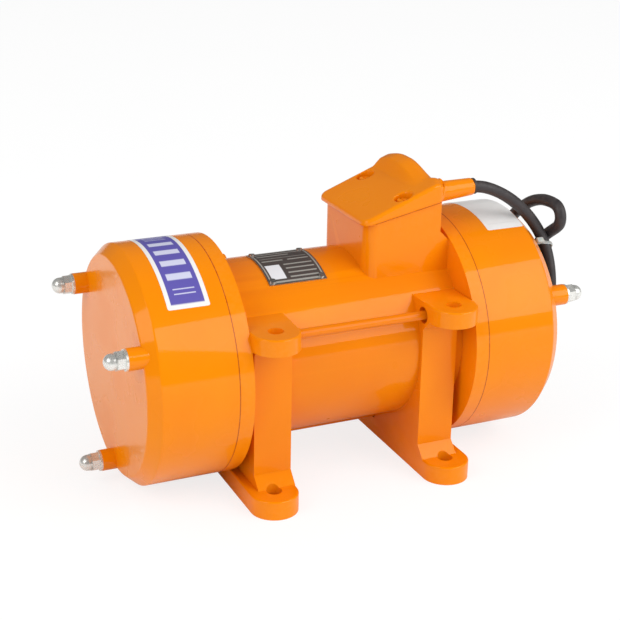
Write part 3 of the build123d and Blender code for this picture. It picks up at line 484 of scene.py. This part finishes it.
cast_paint = orange_paint("cast_orange_paint", lumps=0.55, lump_scale=95.0, roughness=0.30, wear_and_shade=0.4)
cover_paint = orange_paint("cover_orange_paint", lumps=0.22, lump_scale=45.0, roughness=0.26, wear_and_shade=0.0)
stud_paint = orange_paint("stud_orange_paint", lumps=0.15, lump_scale=300.0, roughness=0.30)
seam_paint = orange_paint("seam_orange_paint", lumps=0.8, lump_scale=420.0, roughness=0.55,
                          colour=SEAM_ORANGE, deep=DEEP_SEAM_ORANGE)
zinc_plating = bare_metal("zinc_plating", (0.88, 0.88, 0.84, 1), (0.66, 0.66, 0.62, 1),
                          roughness=(0.20, 0.38), metal=0.65)
screw_steel = bare_metal("screw_steel", (0.56, 0.55, 0.53, 1), (0.34, 0.33, 0.31, 1),
                         roughness=(0.28, 0.45))
ground_steel = turned_metal("ground_steel", (0.66, 0.66, 0.67, 1), (0.50, 0.50, 0.51, 1),
                            pitch=0.0004, roughness=(0.18, 0.32))
race_steel = turned_metal("race_steel", (0.74, 0.75, 0.76, 1), (0.60, 0.61, 0.62, 1),
                          pitch=0.0003, roughness=(0.08, 0.18))
cage_steel = bare_metal("cage_steel", (0.60, 0.60, 0.60, 1), (0.45, 0.45, 0.44, 1),
                        roughness=(0.22, 0.36))
grey_casting = raw_casting("grey_casting", (0.10, 0.10, 0.105, 1), (0.055, 0.055, 0.058, 1))
core_sheets = stacked_sheets("core_sheets")
winding_copper = enamelled_wire("winding_copper")
cast_aluminium = raw_casting("cast_aluminium", (0.50, 0.51, 0.53, 1), (0.34, 0.35, 0.37, 1))
terminal_brass = bare_metal("terminal_brass", (0.75, 0.52, 0.20, 1), (0.52, 0.34, 0.12, 1),
                            roughness=(0.2, 0.36))
plate_aluminium = bare_metal("plate_aluminium", (0.62, 0.61, 0.58, 1), (0.46, 0.45, 0.42, 1),
                             roughness=(0.28, 0.5), stretch=(0.05, 1, 1), scratch=1800.0)
cable_rubber = moulded("cable_rubber", (0.034, 0.028, 0.030, 1), (0.17, 0.14, 0.13, 1),
                       roughness=0.50, dust=0.35, grain=1300.0, height=0.25)
block_plastic = moulded("block_plastic", (0.030, 0.020, 0.014, 1), (0.14, 0.11, 0.09, 1),
                        roughness=0.42, dust=0.3)
tie_plastic = moulded("tie_plastic", (0.58, 0.57, 0.54, 1), (0.45, 0.42, 0.38, 1),
                      roughness=0.34, dust=0.4, Subsurface_Weight=0.15, Transmission_Weight=0.1)
core_colours = {
    tone: moulded(f"core_{tone}", colour, dust_and_shade, roughness=0.38, dust=0.3) for tone, colour, dust_and_shade in (
        ("brown", (0.12, 0.040, 0.015, 1), (0.25, 0.18, 0.14, 1)),
        ("black", (0.020, 0.020, 0.021, 1), (0.14, 0.13, 0.12, 1)),
        ("grey", (0.24, 0.245, 0.25, 1), (0.33, 0.30, 0.27, 1)),
        ("green", (0.045, 0.26, 0.045, 1), (0.20, 0.28, 0.14, 1)))
}
strand_copper = bare_metal("strand_copper", (0.84, 0.40, 0.20, 1), (0.62, 0.26, 0.12, 1),
                           roughness=(0.2, 0.34))

left_print = printed_label("left_label_print", (0.86, 0.85, 0.83, 1), [
    (LABEL_BLUE, (0.095, 0.905, 0.030, 0.970)),
    *bands(PALE_PRINT, 0.24, 0.76, 0.015, 0.006, 0.875, 0.835, 0.795, 0.150, 0.110),
    *bands(PALE_PRINT, 0.20, 0.80, 0.070, 0.010, 0.655, 0.515, 0.375, 0.235),
])
right_print = printed_label("right_label_print", (0.86, 0.86, 0.85, 1),
                            bands(LABEL_RULE, 0.10, 0.90, 0.010, 0.004, 0.090, 0.900))
plate_print = printed_label("nameplate_print", PLATE_GREY, [
    (PLATE_DARK, (0.02, 0.98, 0.03, 0.97, 0.012)),
    (PLATE_GREY, (0.06, 0.94, 0.86, 0.90, 0.010)),
    (PLATE_GREY, (0.06, 0.66, 0.76, 0.80, 0.010)),
    (PLATE_GREY, (0.06, 0.94, 0.655, 0.675, 0.008)),
    (PLATE_GREY, (0.06, 0.46, 0.55, 0.59, 0.010)),
    (PLATE_GREY, (0.54, 0.94, 0.55, 0.59, 0.010)),
    (PLATE_WHITE, (0.05, 0.33, 0.07, 0.44, 0.012)),
    *bands(PLATE_GREY, 0.40, 0.94, 0.04, 0.010, 0.40, 0.29, 0.18, 0.08),
], roughness=0.36)

NODE_FINISHES = {
    cast_paint: ["motor_housing", "terminal_box_lid"],
    cover_paint: ["cover_left", "cover_right"],
    stud_paint: ["through_studs", "lid_screws"],
    seam_paint: ["cover_gasket_left", "cover_gasket_right", "terminal_box_gasket"],
    zinc_plating: ["domed_nuts", "stud_washers"],
    screw_steel: ["shield_screws_left", "shield_screws_right", "cap_screws_left", "cap_screws_right",
                  "clamp_screw_left", "clamp_screw_right", "weight_key_left", "weight_key_right",
                  "shaft_nuts", "shaft_washers"],
    ground_steel: ["rotor_shaft", "shaft_spacer_left", "shaft_spacer_right"],
    race_steel: ["bearing_outer_ring_left", "bearing_outer_ring_right", "bearing_inner_ring_left",
                 "bearing_inner_ring_right", "bearing_balls_left", "bearing_balls_right"],
    cage_steel: ["bearing_cage_left", "bearing_cage_right"],
    grey_casting: ["end_shield_left", "end_shield_right", "bearing_cap_left", "bearing_cap_right",
                   "fixed_weight_left", "fixed_weight_right", "set_weight_left", "set_weight_right"],
    core_sheets: ["stator_core", "rotor_core"],
    winding_copper: ["stator_windings"],
    cast_aluminium: ["rotor_end_rings"],
    terminal_brass: ["terminal_studs", "terminal_nuts", "terminal_links"],
    plate_aluminium: ["nameplate", "nameplate_rivets"],
    cable_rubber: ["cord_bush"],
    block_plastic: ["terminal_block"],
}


def dress_nodes():
    """Gives every CAD node that stays its own finish."""
    for material, names in NODE_FINISHES.items():
        for name in names:
            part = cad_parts[name]
            if not part.material_slots:
                part.data.materials.append(material)
            for slot in part.material_slots:
                slot.link = "OBJECT"
                slot.material = material


# Shape helpers

def as_mesh(made):
    """The mesh of finished building work, which is let go."""
    mesh = bpy.data.meshes.new("made")
    made.to_mesh(mesh)
    made.free()
    return mesh


def as_left(holder):
    """The plain mesh that a holder's modifiers leave, with the holder taken away."""
    dg = bpy.context.evaluated_depsgraph_get()
    mesh = bpy.data.meshes.new_from_object(holder.evaluated_get(dg), preserve_all_data_layers=True,
                                           depsgraph=dg)
    holder.modifiers.clear()
    bpy.data.objects.remove(holder)
    return mesh


def mesh_piece(name, mesh, material):
    """A piece from a mesh that is already in place, with its finish."""
    mesh.name = name
    if not mesh.materials:
        mesh.materials.append(material)
    piece = bpy.data.objects.new(name, mesh)
    bpy.context.collection.objects.link(piece)
    return piece


def smooth(mesh, degrees=35):
    """Smooth shading, with the edges sharper than that left hard."""
    for polygon in mesh.polygons:
        polygon.use_smooth = True
    mesh.set_sharp_from_angle(angle=math.radians(degrees))


def turned_profile(profile, sides=20):
    """A closed shell turned round +Z from (radius, height) pairs, with poles where the radius is 0."""
    made = bmesh.new()
    rows = []
    for radius, height in profile:
        turns = [2 * math.pi * i / sides for i in range(sides)] if radius > 0 else [0.0]
        rows.append([made.verts.new((radius * math.cos(turn), radius * math.sin(turn), height))
                     for turn in turns])
    for lower, upper in zip(rows, rows[1:]):
        for i in range(sides):
            j = (i + 1) % sides
            corners = list(dict.fromkeys((lower[i % len(lower)], lower[j % len(lower)],
                                          upper[j % len(upper)], upper[i % len(upper)])))
            if len(corners) > 2:
                made.faces.new(corners)
    bmesh.ops.recalc_face_normals(made, faces=made.faces)
    return made


def set_copies(tree, given, out, points, instance, **turned):
    """Sets copies of the instance on the points, in the finish that the group is given."""
    spread = add(tree, "GeometryNodeInstanceOnPoints", {"Points": points, "Instance": instance, **turned})
    real = add(tree, "GeometryNodeRealizeInstances", {0: spread.outputs[0]})
    done = add(tree, "GeometryNodeSetMaterial", {"Geometry": real.outputs[0], "Material": given["Finish"]})
    tree.links.new(done.outputs[0], out["Geometry"])


def grown(tree, material, source=None):
    """The plain mesh that a geometry node tree makes in that finish, from the source mesh or nothing."""
    holder = bpy.data.objects.new("holder", source or bpy.data.meshes.new("holder"))
    bpy.context.collection.objects.link(holder)
    modifier = holder.modifiers.new("made", "NODES")
    modifier.node_group = tree
    given = next(item for item in tree.interface.items_tree if item.name == "Finish")
    modifier[given.identifier] = material
    return as_left(holder)


# Cable

def cable_points():
    """Control points of the whole cable: spout, cover edge, coil turn by turn, loop and hanging end."""
    points = SPOUT_RUN + LEAD_RUN
    for degrees in range(COIL_FIRST_DEGREES, COIL_LAST_DEGREES + 1, COIL_STEP_DEGREES):
        turn = math.radians(degrees)
        reach = COIL_INNER_RADIUS + COIL_GROWTH * (degrees - COIL_FIRST_DEGREES) / 360
        points.append((COIL_X, COIL_CENTRE_Y + reach * math.cos(turn),
                       COIL_CENTRE_Z + reach * math.sin(turn)))
    return points + TAIL_RUN


def supply_cable():
    """The cable as one round rod on a smooth curve."""
    curve = bpy.data.curves.new("supply_cable", "CURVE")
    curve.dimensions = "3D"
    spline = curve.splines.new("NURBS")
    points = cable_points()
    spline.points.add(len(points) - 1)
    for point, place in zip(spline.points, points):
        point.co = (*place, 1)
    spline.order_u = 3
    spline.use_endpoint_u = True
    spline.resolution_u = 8
    curve.bevel_depth = CORD_DIAMETER / 2
    curve.bevel_resolution = 5
    curve.use_fill_caps = True
    curve.materials.append(cable_rubber)
    cable = bpy.data.objects.new("supply_cable", curve)
    bpy.context.collection.objects.link(cable)
    return cable


def strand_tree():
    """Geometry nodes: straight copper strands, one in the middle and a ring of them round it."""
    tree, given, out = group("copper_strands", [
        ("Ring count", WHOLE, STRAND_COUNT), ("Ring radius", VALUE, STRAND_CIRCLE),
        ("Strand radius", VALUE, STRAND_RADIUS), ("Length", VALUE, CORE_BARE + CORE_BORE_DEPTH),
        ("Finish", FINISH, None)], [("Geometry", SHAPE)], "GeometryNodeTree")
    ring = add(tree, "GeometryNodeMeshCircle", {"Vertices": given["Ring count"],
                                                "Radius": given["Ring radius"]})
    middle = add(tree, "GeometryNodeMeshLine", {"Count": 1})
    places = add(tree, "GeometryNodeJoinGeometry")
    tree.links.new(ring.outputs[0], places.inputs[0])
    tree.links.new(middle.outputs[0], places.inputs[0])
    tip = add(tree, "ShaderNodeCombineXYZ", {2: given["Length"]})
    line = add(tree, "GeometryNodeCurvePrimitiveLine", {"End": tip.outputs[0]})
    section = add(tree, "GeometryNodeCurvePrimitiveCircle", {"Resolution": 8,
                                                             "Radius": given["Strand radius"]})
    strand = add(tree, "GeometryNodeCurveToMesh", {
        "Curve": line.outputs[0], "Profile Curve": section.outputs[0], "Fill Caps": True})
    set_copies(tree, given, out, places.outputs[0], strand.outputs[0])
    return tree


def core_ends():
    """Four insulated cores with bare strands, standing out of the cable's cut end."""
    end, before = Vector(TAIL_RUN[-1]), Vector(TAIL_RUN[-2])
    facing = (end - before).normalized().to_track_quat("Z", "Y").to_matrix().to_4x4()
    strands = strand_tree()
    half, sleeve = CORE_DIAMETER / 2, CORE_LENGTH - CORE_BARE
    bottom = sleeve - CORE_BORE_DEPTH
    pieces = []
    for number, (tone, material) in enumerate(core_colours.items()):
        angle = math.pi / 2 * number
        foot = Vector((CORE_CIRCLE * math.cos(angle), CORE_CIRCLE * math.sin(angle), 0))
        place = Matrix.Translation(end) @ facing @ Matrix.Translation(foot)
        mesh = as_mesh(turned_profile([
            (0, -CORE_ROOT), (half, -CORE_ROOT), (half, sleeve - CORE_EDGE), (half - CORE_EDGE, sleeve),
            (CORE_BORE_RADIUS, sleeve), (CORE_BORE_RADIUS, bottom), (0, bottom)]))
        smooth(mesh)
        mesh.transform(place)
        pieces.append(mesh_piece(f"cable_core_{tone}", mesh, material))
        wires = grown(strands, strand_copper)
        wires.transform(place @ Matrix.Translation((0, 0, bottom)))
        pieces.append(mesh_piece(f"cable_strands_{tone}", wires, strand_copper))
    return pieces


# Terminal box lid

def lid_bottom(x):
    """Height of the lid's lower edge."""
    return LID_LOW_EDGE + (x - LID_LEFT) * math.tan(math.radians(LID_RIM_SLOPE))


def lid_top(x):
    """Height of the lid's plain slope."""
    return LID_LOW_EDGE + LID_RIM + (x - LID_LEFT) * math.tan(math.radians(LID_TOP_SLOPE))


def share_between(value, low, high):
    """How much of the way from low to high the value has come, from 0 to 1."""
    return min(max((value - low) / (high - low), 0.0), 1.0)


def eased(value, low, high):
    """The same share, with a soft start and a soft end."""
    share = share_between(value, low, high)
    return share * share * (3 - 2 * share)


def crown_rise(x, y):
    """How far the casting's crown stands over the plain slope, and how its cable end falls away."""
    swell = eased(x, CROWN_FOOT, CROWN_FOOT + CROWN_BEND)
    swell *= 1 - eased(abs(y - CROWN_MIDDLE), CROWN_FLAT, CROWN_REACH)
    past = max(0.0, x - (LID_RIGHT - CROWN_ROUND))
    return CROWN_HEIGHT * swell - (CROWN_ROUND - math.sqrt(max(CROWN_ROUND ** 2 - past ** 2, 0.0)))


def crowned_lid():
    """The lid's solid with the soft edges of its casting and a rounded crown over the cable's end."""
    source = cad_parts["terminal_box_lid"]
    holder = bpy.data.objects.new("holder", source.data.copy())
    bpy.context.collection.objects.link(holder)
    cells = holder.modifiers.new("cells", "REMESH")
    cells.mode = "VOXEL"
    cells.voxel_size = LID_CELL
    made = bmesh.new()
    made.from_mesh(as_left(holder))
    bmesh.ops.transform(made, matrix=source.matrix_world, verts=made.verts)
    for _ in range(LID_SMOOTHINGS):
        bmesh.ops.smooth_vert(made, verts=made.verts, factor=0.5, use_axis_x=True, use_axis_y=True,
                              use_axis_z=True)
    spout_x, spout_y, spout_z = SPOUT_RUN[0]
    for vertex in made.verts:
        x, y, z = vertex.co
        if x >= LID_RIGHT + SPOUT_ROOT:
            continue
        inside = min(max(x, LID_LEFT), LID_RIGHT)
        share = share_between(z, lid_bottom(inside), lid_top(inside))
        if x > LID_RIGHT - SPOUT_SEAT:
            aside = math.hypot(y - spout_y, z - spout_z - (spout_x - x) * SPOUT_SLOPE)
            share *= eased(aside, SPOUT_REACH, SPOUT_REACH + SPOUT_BLEND)
        vertex.co.z += crown_rise(min(x, LID_RIGHT), y) * share
    mesh = as_mesh(made)
    smooth(mesh, 60)
    return mesh_piece("lid_casting", mesh, cast_paint)


# Tie

def tie_place():
    """Matrix from the tie's own plane (radius, x, width) to the object."""
    turn = math.radians(TIE_DEGREES)
    radial = Vector((0, math.cos(turn), math.sin(turn)))
    out = Vector((1, 0, 0))
    side = radial.cross(out)
    place = Matrix((radial, out, side)).transposed().to_4x4()
    place.translation = (0, COIL_CENTRE_Y, COIL_CENTRE_Z)
    return place


def tie_line(growth):
    """Closed line in the tie's plane round the coil's section and the cable on it."""
    rings = [(COIL_RING_RADII[0], COIL_X), (COIL_RING_RADII[1], COIL_X), (TIE_CORD_RADIUS, TIE_CORD_X)]
    reach = CORD_DIAMETER / 2 + growth
    turns = [2 * math.pi * i / TIE_BENDS for i in range(TIE_BENDS)]
    dots = sorted((r + reach * math.cos(turn), x + reach * math.sin(turn))
                  for r, x in rings for turn in turns)

    def half(run):
        """One side of the tight line round the dots, along the run."""
        line = []
        for p in run:
            while len(line) > 1 and ((line[-1][0] - line[-2][0]) * (p[1] - line[-2][1])
                                     - (line[-1][1] - line[-2][1]) * (p[0] - line[-2][0])) <= 0:
                line.pop()
            line.append(p)
        return line[:-1]

    return half(dots) + half(dots[::-1])


def tie_strap():
    """The flat strap as a closed band with softened edges."""
    made = bmesh.new()
    inner, outer = tie_line(TIE_GAP), tie_line(TIE_GAP + TIE_THICKNESS)
    edge, flat = TIE_WIDTH / 2, TIE_WIDTH / 2 - TIE_EDGE
    section = [(0.0, -flat), (0.0, flat), (0.3, edge), (0.7, edge),
               (1.0, flat), (1.0, -flat), (0.7, -edge), (0.3, -edge)]
    rows = []
    for a in inner:
        b = min(outer, key=lambda p: (p[0] - a[0]) ** 2 + (p[1] - a[1]) ** 2)
        rows.append([made.verts.new((a[0] + (b[0] - a[0]) * share, a[1] + (b[1] - a[1]) * share, across))
                     for share, across in section])
    for row, following in zip(rows, rows[1:] + rows[:1]):
        for k in range(len(section)):
            n = (k + 1) % len(section)
            made.faces.new((row[k], row[n], following[n], following[k]))
    bmesh.ops.recalc_face_normals(made, faces=made.faces)
    mesh = as_mesh(made)
    smooth(mesh)
    mesh.transform(tie_place())
    return mesh_piece("tie_strap", mesh, tie_plastic)


def tie_head():
    """The strap's lock: a small box with soft edges."""
    made = bmesh.new()
    bmesh.ops.create_cube(made, size=1.0)
    bmesh.ops.scale(made, vec=TIE_HEAD_SIZE, verts=made.verts)
    bmesh.ops.bevel(made, geom=made.edges, offset=TIE_HEAD_EDGE, segments=3, affect="EDGES", profile=0.5)
    mesh = as_mesh(made)
    smooth(mesh)
    strap = COIL_RING_RADII[1] + CORD_DIAMETER / 2 + TIE_GAP
    mesh.transform(tie_place() @ Matrix.Translation((strap + TIE_HEAD_RISE, COIL_X, 0)))
    return mesh_piece("tie_head", mesh, tie_plastic)


def teeth_tree():
    """Geometry nodes: small cross ribs set along a strap's line, turned with it."""
    tree, given, out = group("strap_teeth", [
        ("Geometry", SHAPE, None), ("Spacing", VALUE, RIB_SPACING), ("Rib width", VALUE, RIB_WIDTH),
        ("Rib length", VALUE, RIB_LENGTH), ("Rib height", VALUE, RIB_HEIGHT), ("Finish", FINISH, None)],
        [("Geometry", SHAPE)], "GeometryNodeTree")
    line = add(tree, "GeometryNodeMeshToCurve", {"Mesh": given["Geometry"]})
    even = add(tree, "GeometryNodeResampleCurve", {"Curve": line.outputs[0], "Length": given["Spacing"]},
               mode="LENGTH")
    run = add(tree, "GeometryNodeInputTangent")
    first = add(tree, "FunctionNodeAlignRotationToVector", {"Vector": run.outputs[0]}, axis="X")
    second = add(tree, "FunctionNodeAlignRotationToVector", {
        "Rotation": first.outputs[0], "Vector": (0, 0, 1)}, axis="Y", pivot_axis="X")
    size = add(tree, "ShaderNodeCombineXYZ", {
        0: given["Rib length"], 1: given["Rib width"], 2: given["Rib height"]})
    rib = add(tree, "GeometryNodeMeshCube", {"Size": size.outputs[0]})
    set_copies(tree, given, out, even.outputs[0], rib.outputs[0], Rotation=second.outputs[0])
    return tree


def tie_teeth():
    """Ribs on the strap's outer side."""
    line = tie_line(TIE_GAP + TIE_THICKNESS)
    path = bpy.data.meshes.new("tie_line")
    path.from_pydata([(r, x, 0) for r, x in line], [(i, (i + 1) % len(line)) for i in range(len(line))], [])
    mesh = grown(teeth_tree(), tie_plastic, path)
    mesh.transform(tie_place())
    return mesh_piece("tie_teeth", mesh, tie_plastic)


# Labels and nameplate

def curved_sheet(name, material, span, radius, thickness, corner=0.0015, columns=24, rows=40):
    """A thin sheet with round corners, bent round the motor's axis, with a UV map over its two sides."""
    left, right, first, last = span
    width = right - left
    length = math.radians(last - first) * radius
    made = bmesh.new()
    layer = made.loops.layers.uv.new("UVMap")

    def squeezed(u, v):
        """Moves a grid place inwards so that the sheet's corners are round."""
        x, y = u * width, v * length
        dx = max(corner - x, x - (width - corner), 0)
        dy = max(corner - y, y - (length - corner), 0)
        reach = math.hypot(dx, dy)
        if dx > 0 and dy > 0 and reach > 0:
            share = max(dx, dy) / reach
            x += (dx - dx * share) * (1 if x < width / 2 else -1)
            y += (dy - dy * share) * (1 if y < length / 2 else -1)
        return x, y

    def spread(count, total):
        """Even steps, with extra ones inside the round corners."""
        inner = [corner + (total - 2 * corner) * i / count for i in range(count + 1)]
        edge = [corner * i / 4 for i in range(4)]
        return [s / total for s in edge + inner + [total - e for e in reversed(edge)]]

    us, vs = spread(columns, width), spread(rows, length)
    places, shells = {}, []
    for reach in (radius, radius + thickness):
        shell = []
        for v in vs:
            row = []
            for u in us:
                x, along = squeezed(u, v)
                angle = math.radians(first) + along / radius
                height = AXIS_HEIGHT + reach * math.sin(angle)
                row.append(made.verts.new((left + x, -reach * math.cos(angle), height)))
                places[row[-1]] = (u, v)
            shell.append(row)
        shells.append(shell)
    inner, outer = shells
    top, end = len(vs) - 1, len(us) - 1
    for j in range(top):
        for i in range(end):
            made.faces.new((outer[j][i], outer[j][i + 1], outer[j + 1][i + 1], outer[j + 1][i]))
            made.faces.new((inner[j][i], inner[j + 1][i], inner[j + 1][i + 1], inner[j][i + 1]))
    rim = ([(0, i) for i in range(end)] + [(j, end) for j in range(top)]
           + [(top, i) for i in range(end, 0, -1)] + [(j, 0) for j in range(top, 0, -1)])
    for (j0, i0), (j1, i1) in zip(rim, rim[1:] + rim[:1]):
        made.faces.new((inner[j0][i0], inner[j1][i1], outer[j1][i1], outer[j0][i0]))
    for face in made.faces:
        for loop in face.loops:
            loop[layer].uv = places[loop.vert]
    bmesh.ops.recalc_face_normals(made, faces=made.faces)
    mesh = as_mesh(made)
    smooth(mesh, 50)
    return mesh_piece(name, mesh, material)


# Studio

def photograph_camera():
    """The photograph's camera: its place, aim, roll and lens."""
    aim = Vector(CAMERA_AIM).normalized()
    azimuth = math.radians(CAMERA_AZIMUTH)
    level = Vector((math.cos(azimuth), math.sin(azimuth), 0))
    upright = level.cross(aim)
    roll = math.radians(CAMERA_ROLL)
    right = level * math.cos(roll) + upright * math.sin(roll)
    up = upright * math.cos(roll) - level * math.sin(roll)
    data = bpy.data.cameras.new("camera")
    data.lens = CAMERA_LENS
    data.sensor_width = 36.0
    data.clip_start, data.clip_end = 0.05, 60.0
    camera = bpy.data.objects.new("camera", data)
    bpy.context.collection.objects.link(camera)
    turn = Matrix((right, up, -aim)).transposed().to_4x4()
    camera.matrix_world = Matrix.Translation(CAMERA_PLACE) @ turn
    bpy.context.scene.camera = camera


def softbox(name, azimuth, elevation, width, height, strength):
    """An area lamp that faces the motor. Azimuth 0 stands in front and turns towards the cable end."""
    data = bpy.data.lights.new(name, "AREA")
    data.shape = "RECTANGLE"
    data.size, data.size_y = width, height
    data.energy = strength * math.pi * width * height
    lamp = bpy.data.objects.new(name, data)
    bpy.context.collection.objects.link(lamp)
    a, e = math.radians(azimuth), math.radians(elevation)
    way = Vector((math.sin(a) * math.cos(e), -math.cos(a) * math.cos(e), math.sin(e)))
    lamp.location = Vector((0, 0, LAMP_AIM_HEIGHT)) + way * LAMP_DISTANCE
    lamp.rotation_euler = way.to_track_quat("Z", "Y").to_euler()


def studio_shell():
    """A pale shell round the motor, white where the camera sees it and darker where gloss mirrors it."""
    world = bpy.data.worlds.new("studio")
    world.use_nodes = True
    tree = world.node_tree
    shell = own_node(tree, "BACKGROUND")
    shell.inputs["Color"].default_value = SHELL_GREY
    shell.inputs["Strength"].default_value = 1.0
    rays = add(tree, "ShaderNodeLightPath").outputs
    plain = add(tree, "ShaderNodeBackground", {"Color": WHITE, "Strength": 1.0}).outputs[0]
    mirrored = add(tree, "ShaderNodeBackground", {"Color": MIRRORED_GREY, "Strength": 1.0}).outputs[0]
    glossy = add(tree, "ShaderNodeMixShader", {0: rays["Is Glossy Ray"], 1: shell.outputs[0], 2: mirrored})
    chosen = add(tree, "ShaderNodeMixShader", {0: rays["Is Camera Ray"], 1: glossy.outputs[0], 2: plain})
    tree.links.new(chosen.outputs[0], own_node(tree, "OUTPUT_WORLD").inputs["Surface"])
    bpy.context.scene.world = world


def studio_floor():
    """A matt white floor with a glow where the camera sees it, so that little more than shadow shows."""
    made = bmesh.new()
    bmesh.ops.create_circle(made, cap_ends=True, radius=FLOOR_RADIUS, segments=96)
    mesh = as_mesh(made)
    material, tree, shader = finish("floor_white", Specular_IOR_Level=0.0, Roughness=0.9)
    tone = fitted(tree, noise(tree, on_object(tree), 3.0), 0.3, 0.7, 0.90, 0.915)
    tree.links.new(tone, shader["Base Color"])
    rays = add(tree, "ShaderNodeLightPath").outputs
    seen = calculate(tree, "ADD", rays["Is Camera Ray"], rays["Is Transmission Ray"], clamp=True)
    matt = own_node(tree, "BSDF_PRINCIPLED").outputs[0]
    glow = add(tree, "ShaderNodeEmission", {"Color": WHITE, "Strength": FLOOR_GLOW}).outputs[0]
    both = add(tree, "ShaderNodeMixShader", {0: times(tree, seen, FLOOR_GLOW_SHARE), 1: matt, 2: glow})
    tree.links.new(both.outputs[0], own_node(tree, "OUTPUT_MATERIAL").inputs["Surface"])
    floor = mesh_piece("floor", mesh, material)


bpy.context.scene.view_settings.view_transform = "Standard"
photograph_camera()
studio_shell()
softbox("window_softbox", 42.0, 31.0, 2.5, 2.25, 2.8)
softbox("left_fill", -72.0, 36.0, 1.8, 1.8, 2.6)
studio_floor()
dress_nodes()

cable = supply_cable()
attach(cable, "housing")
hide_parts("power_cord", "cord_coil", "cord_tail")

lid = crowned_lid()
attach(lid, "housing")
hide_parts("terminal_box_lid")

cores = core_ends()
for piece in cores:
    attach(piece, "housing")
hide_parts("cord_core_ends")

tie_pieces = [tie_strap(), tie_head(), tie_teeth()]
for piece in tie_pieces:
    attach(piece, "housing")
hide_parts("cable_tie")

labels = [
    curved_sheet("cover_label_left", left_print, LEFT_LABEL, DRUM_RADIUS + LABEL_GAP, LABEL_THICKNESS),
    curved_sheet("cover_label_right", right_print, RIGHT_LABEL, DRUM_RADIUS + LABEL_GAP, LABEL_THICKNESS),
    curved_sheet("nameplate_film", plate_print, PLATE_FILM, BARREL_RADIUS + FILM_LIFT, FILM_THICKNESS),
]
for piece in labels:
    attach(piece, "housing")
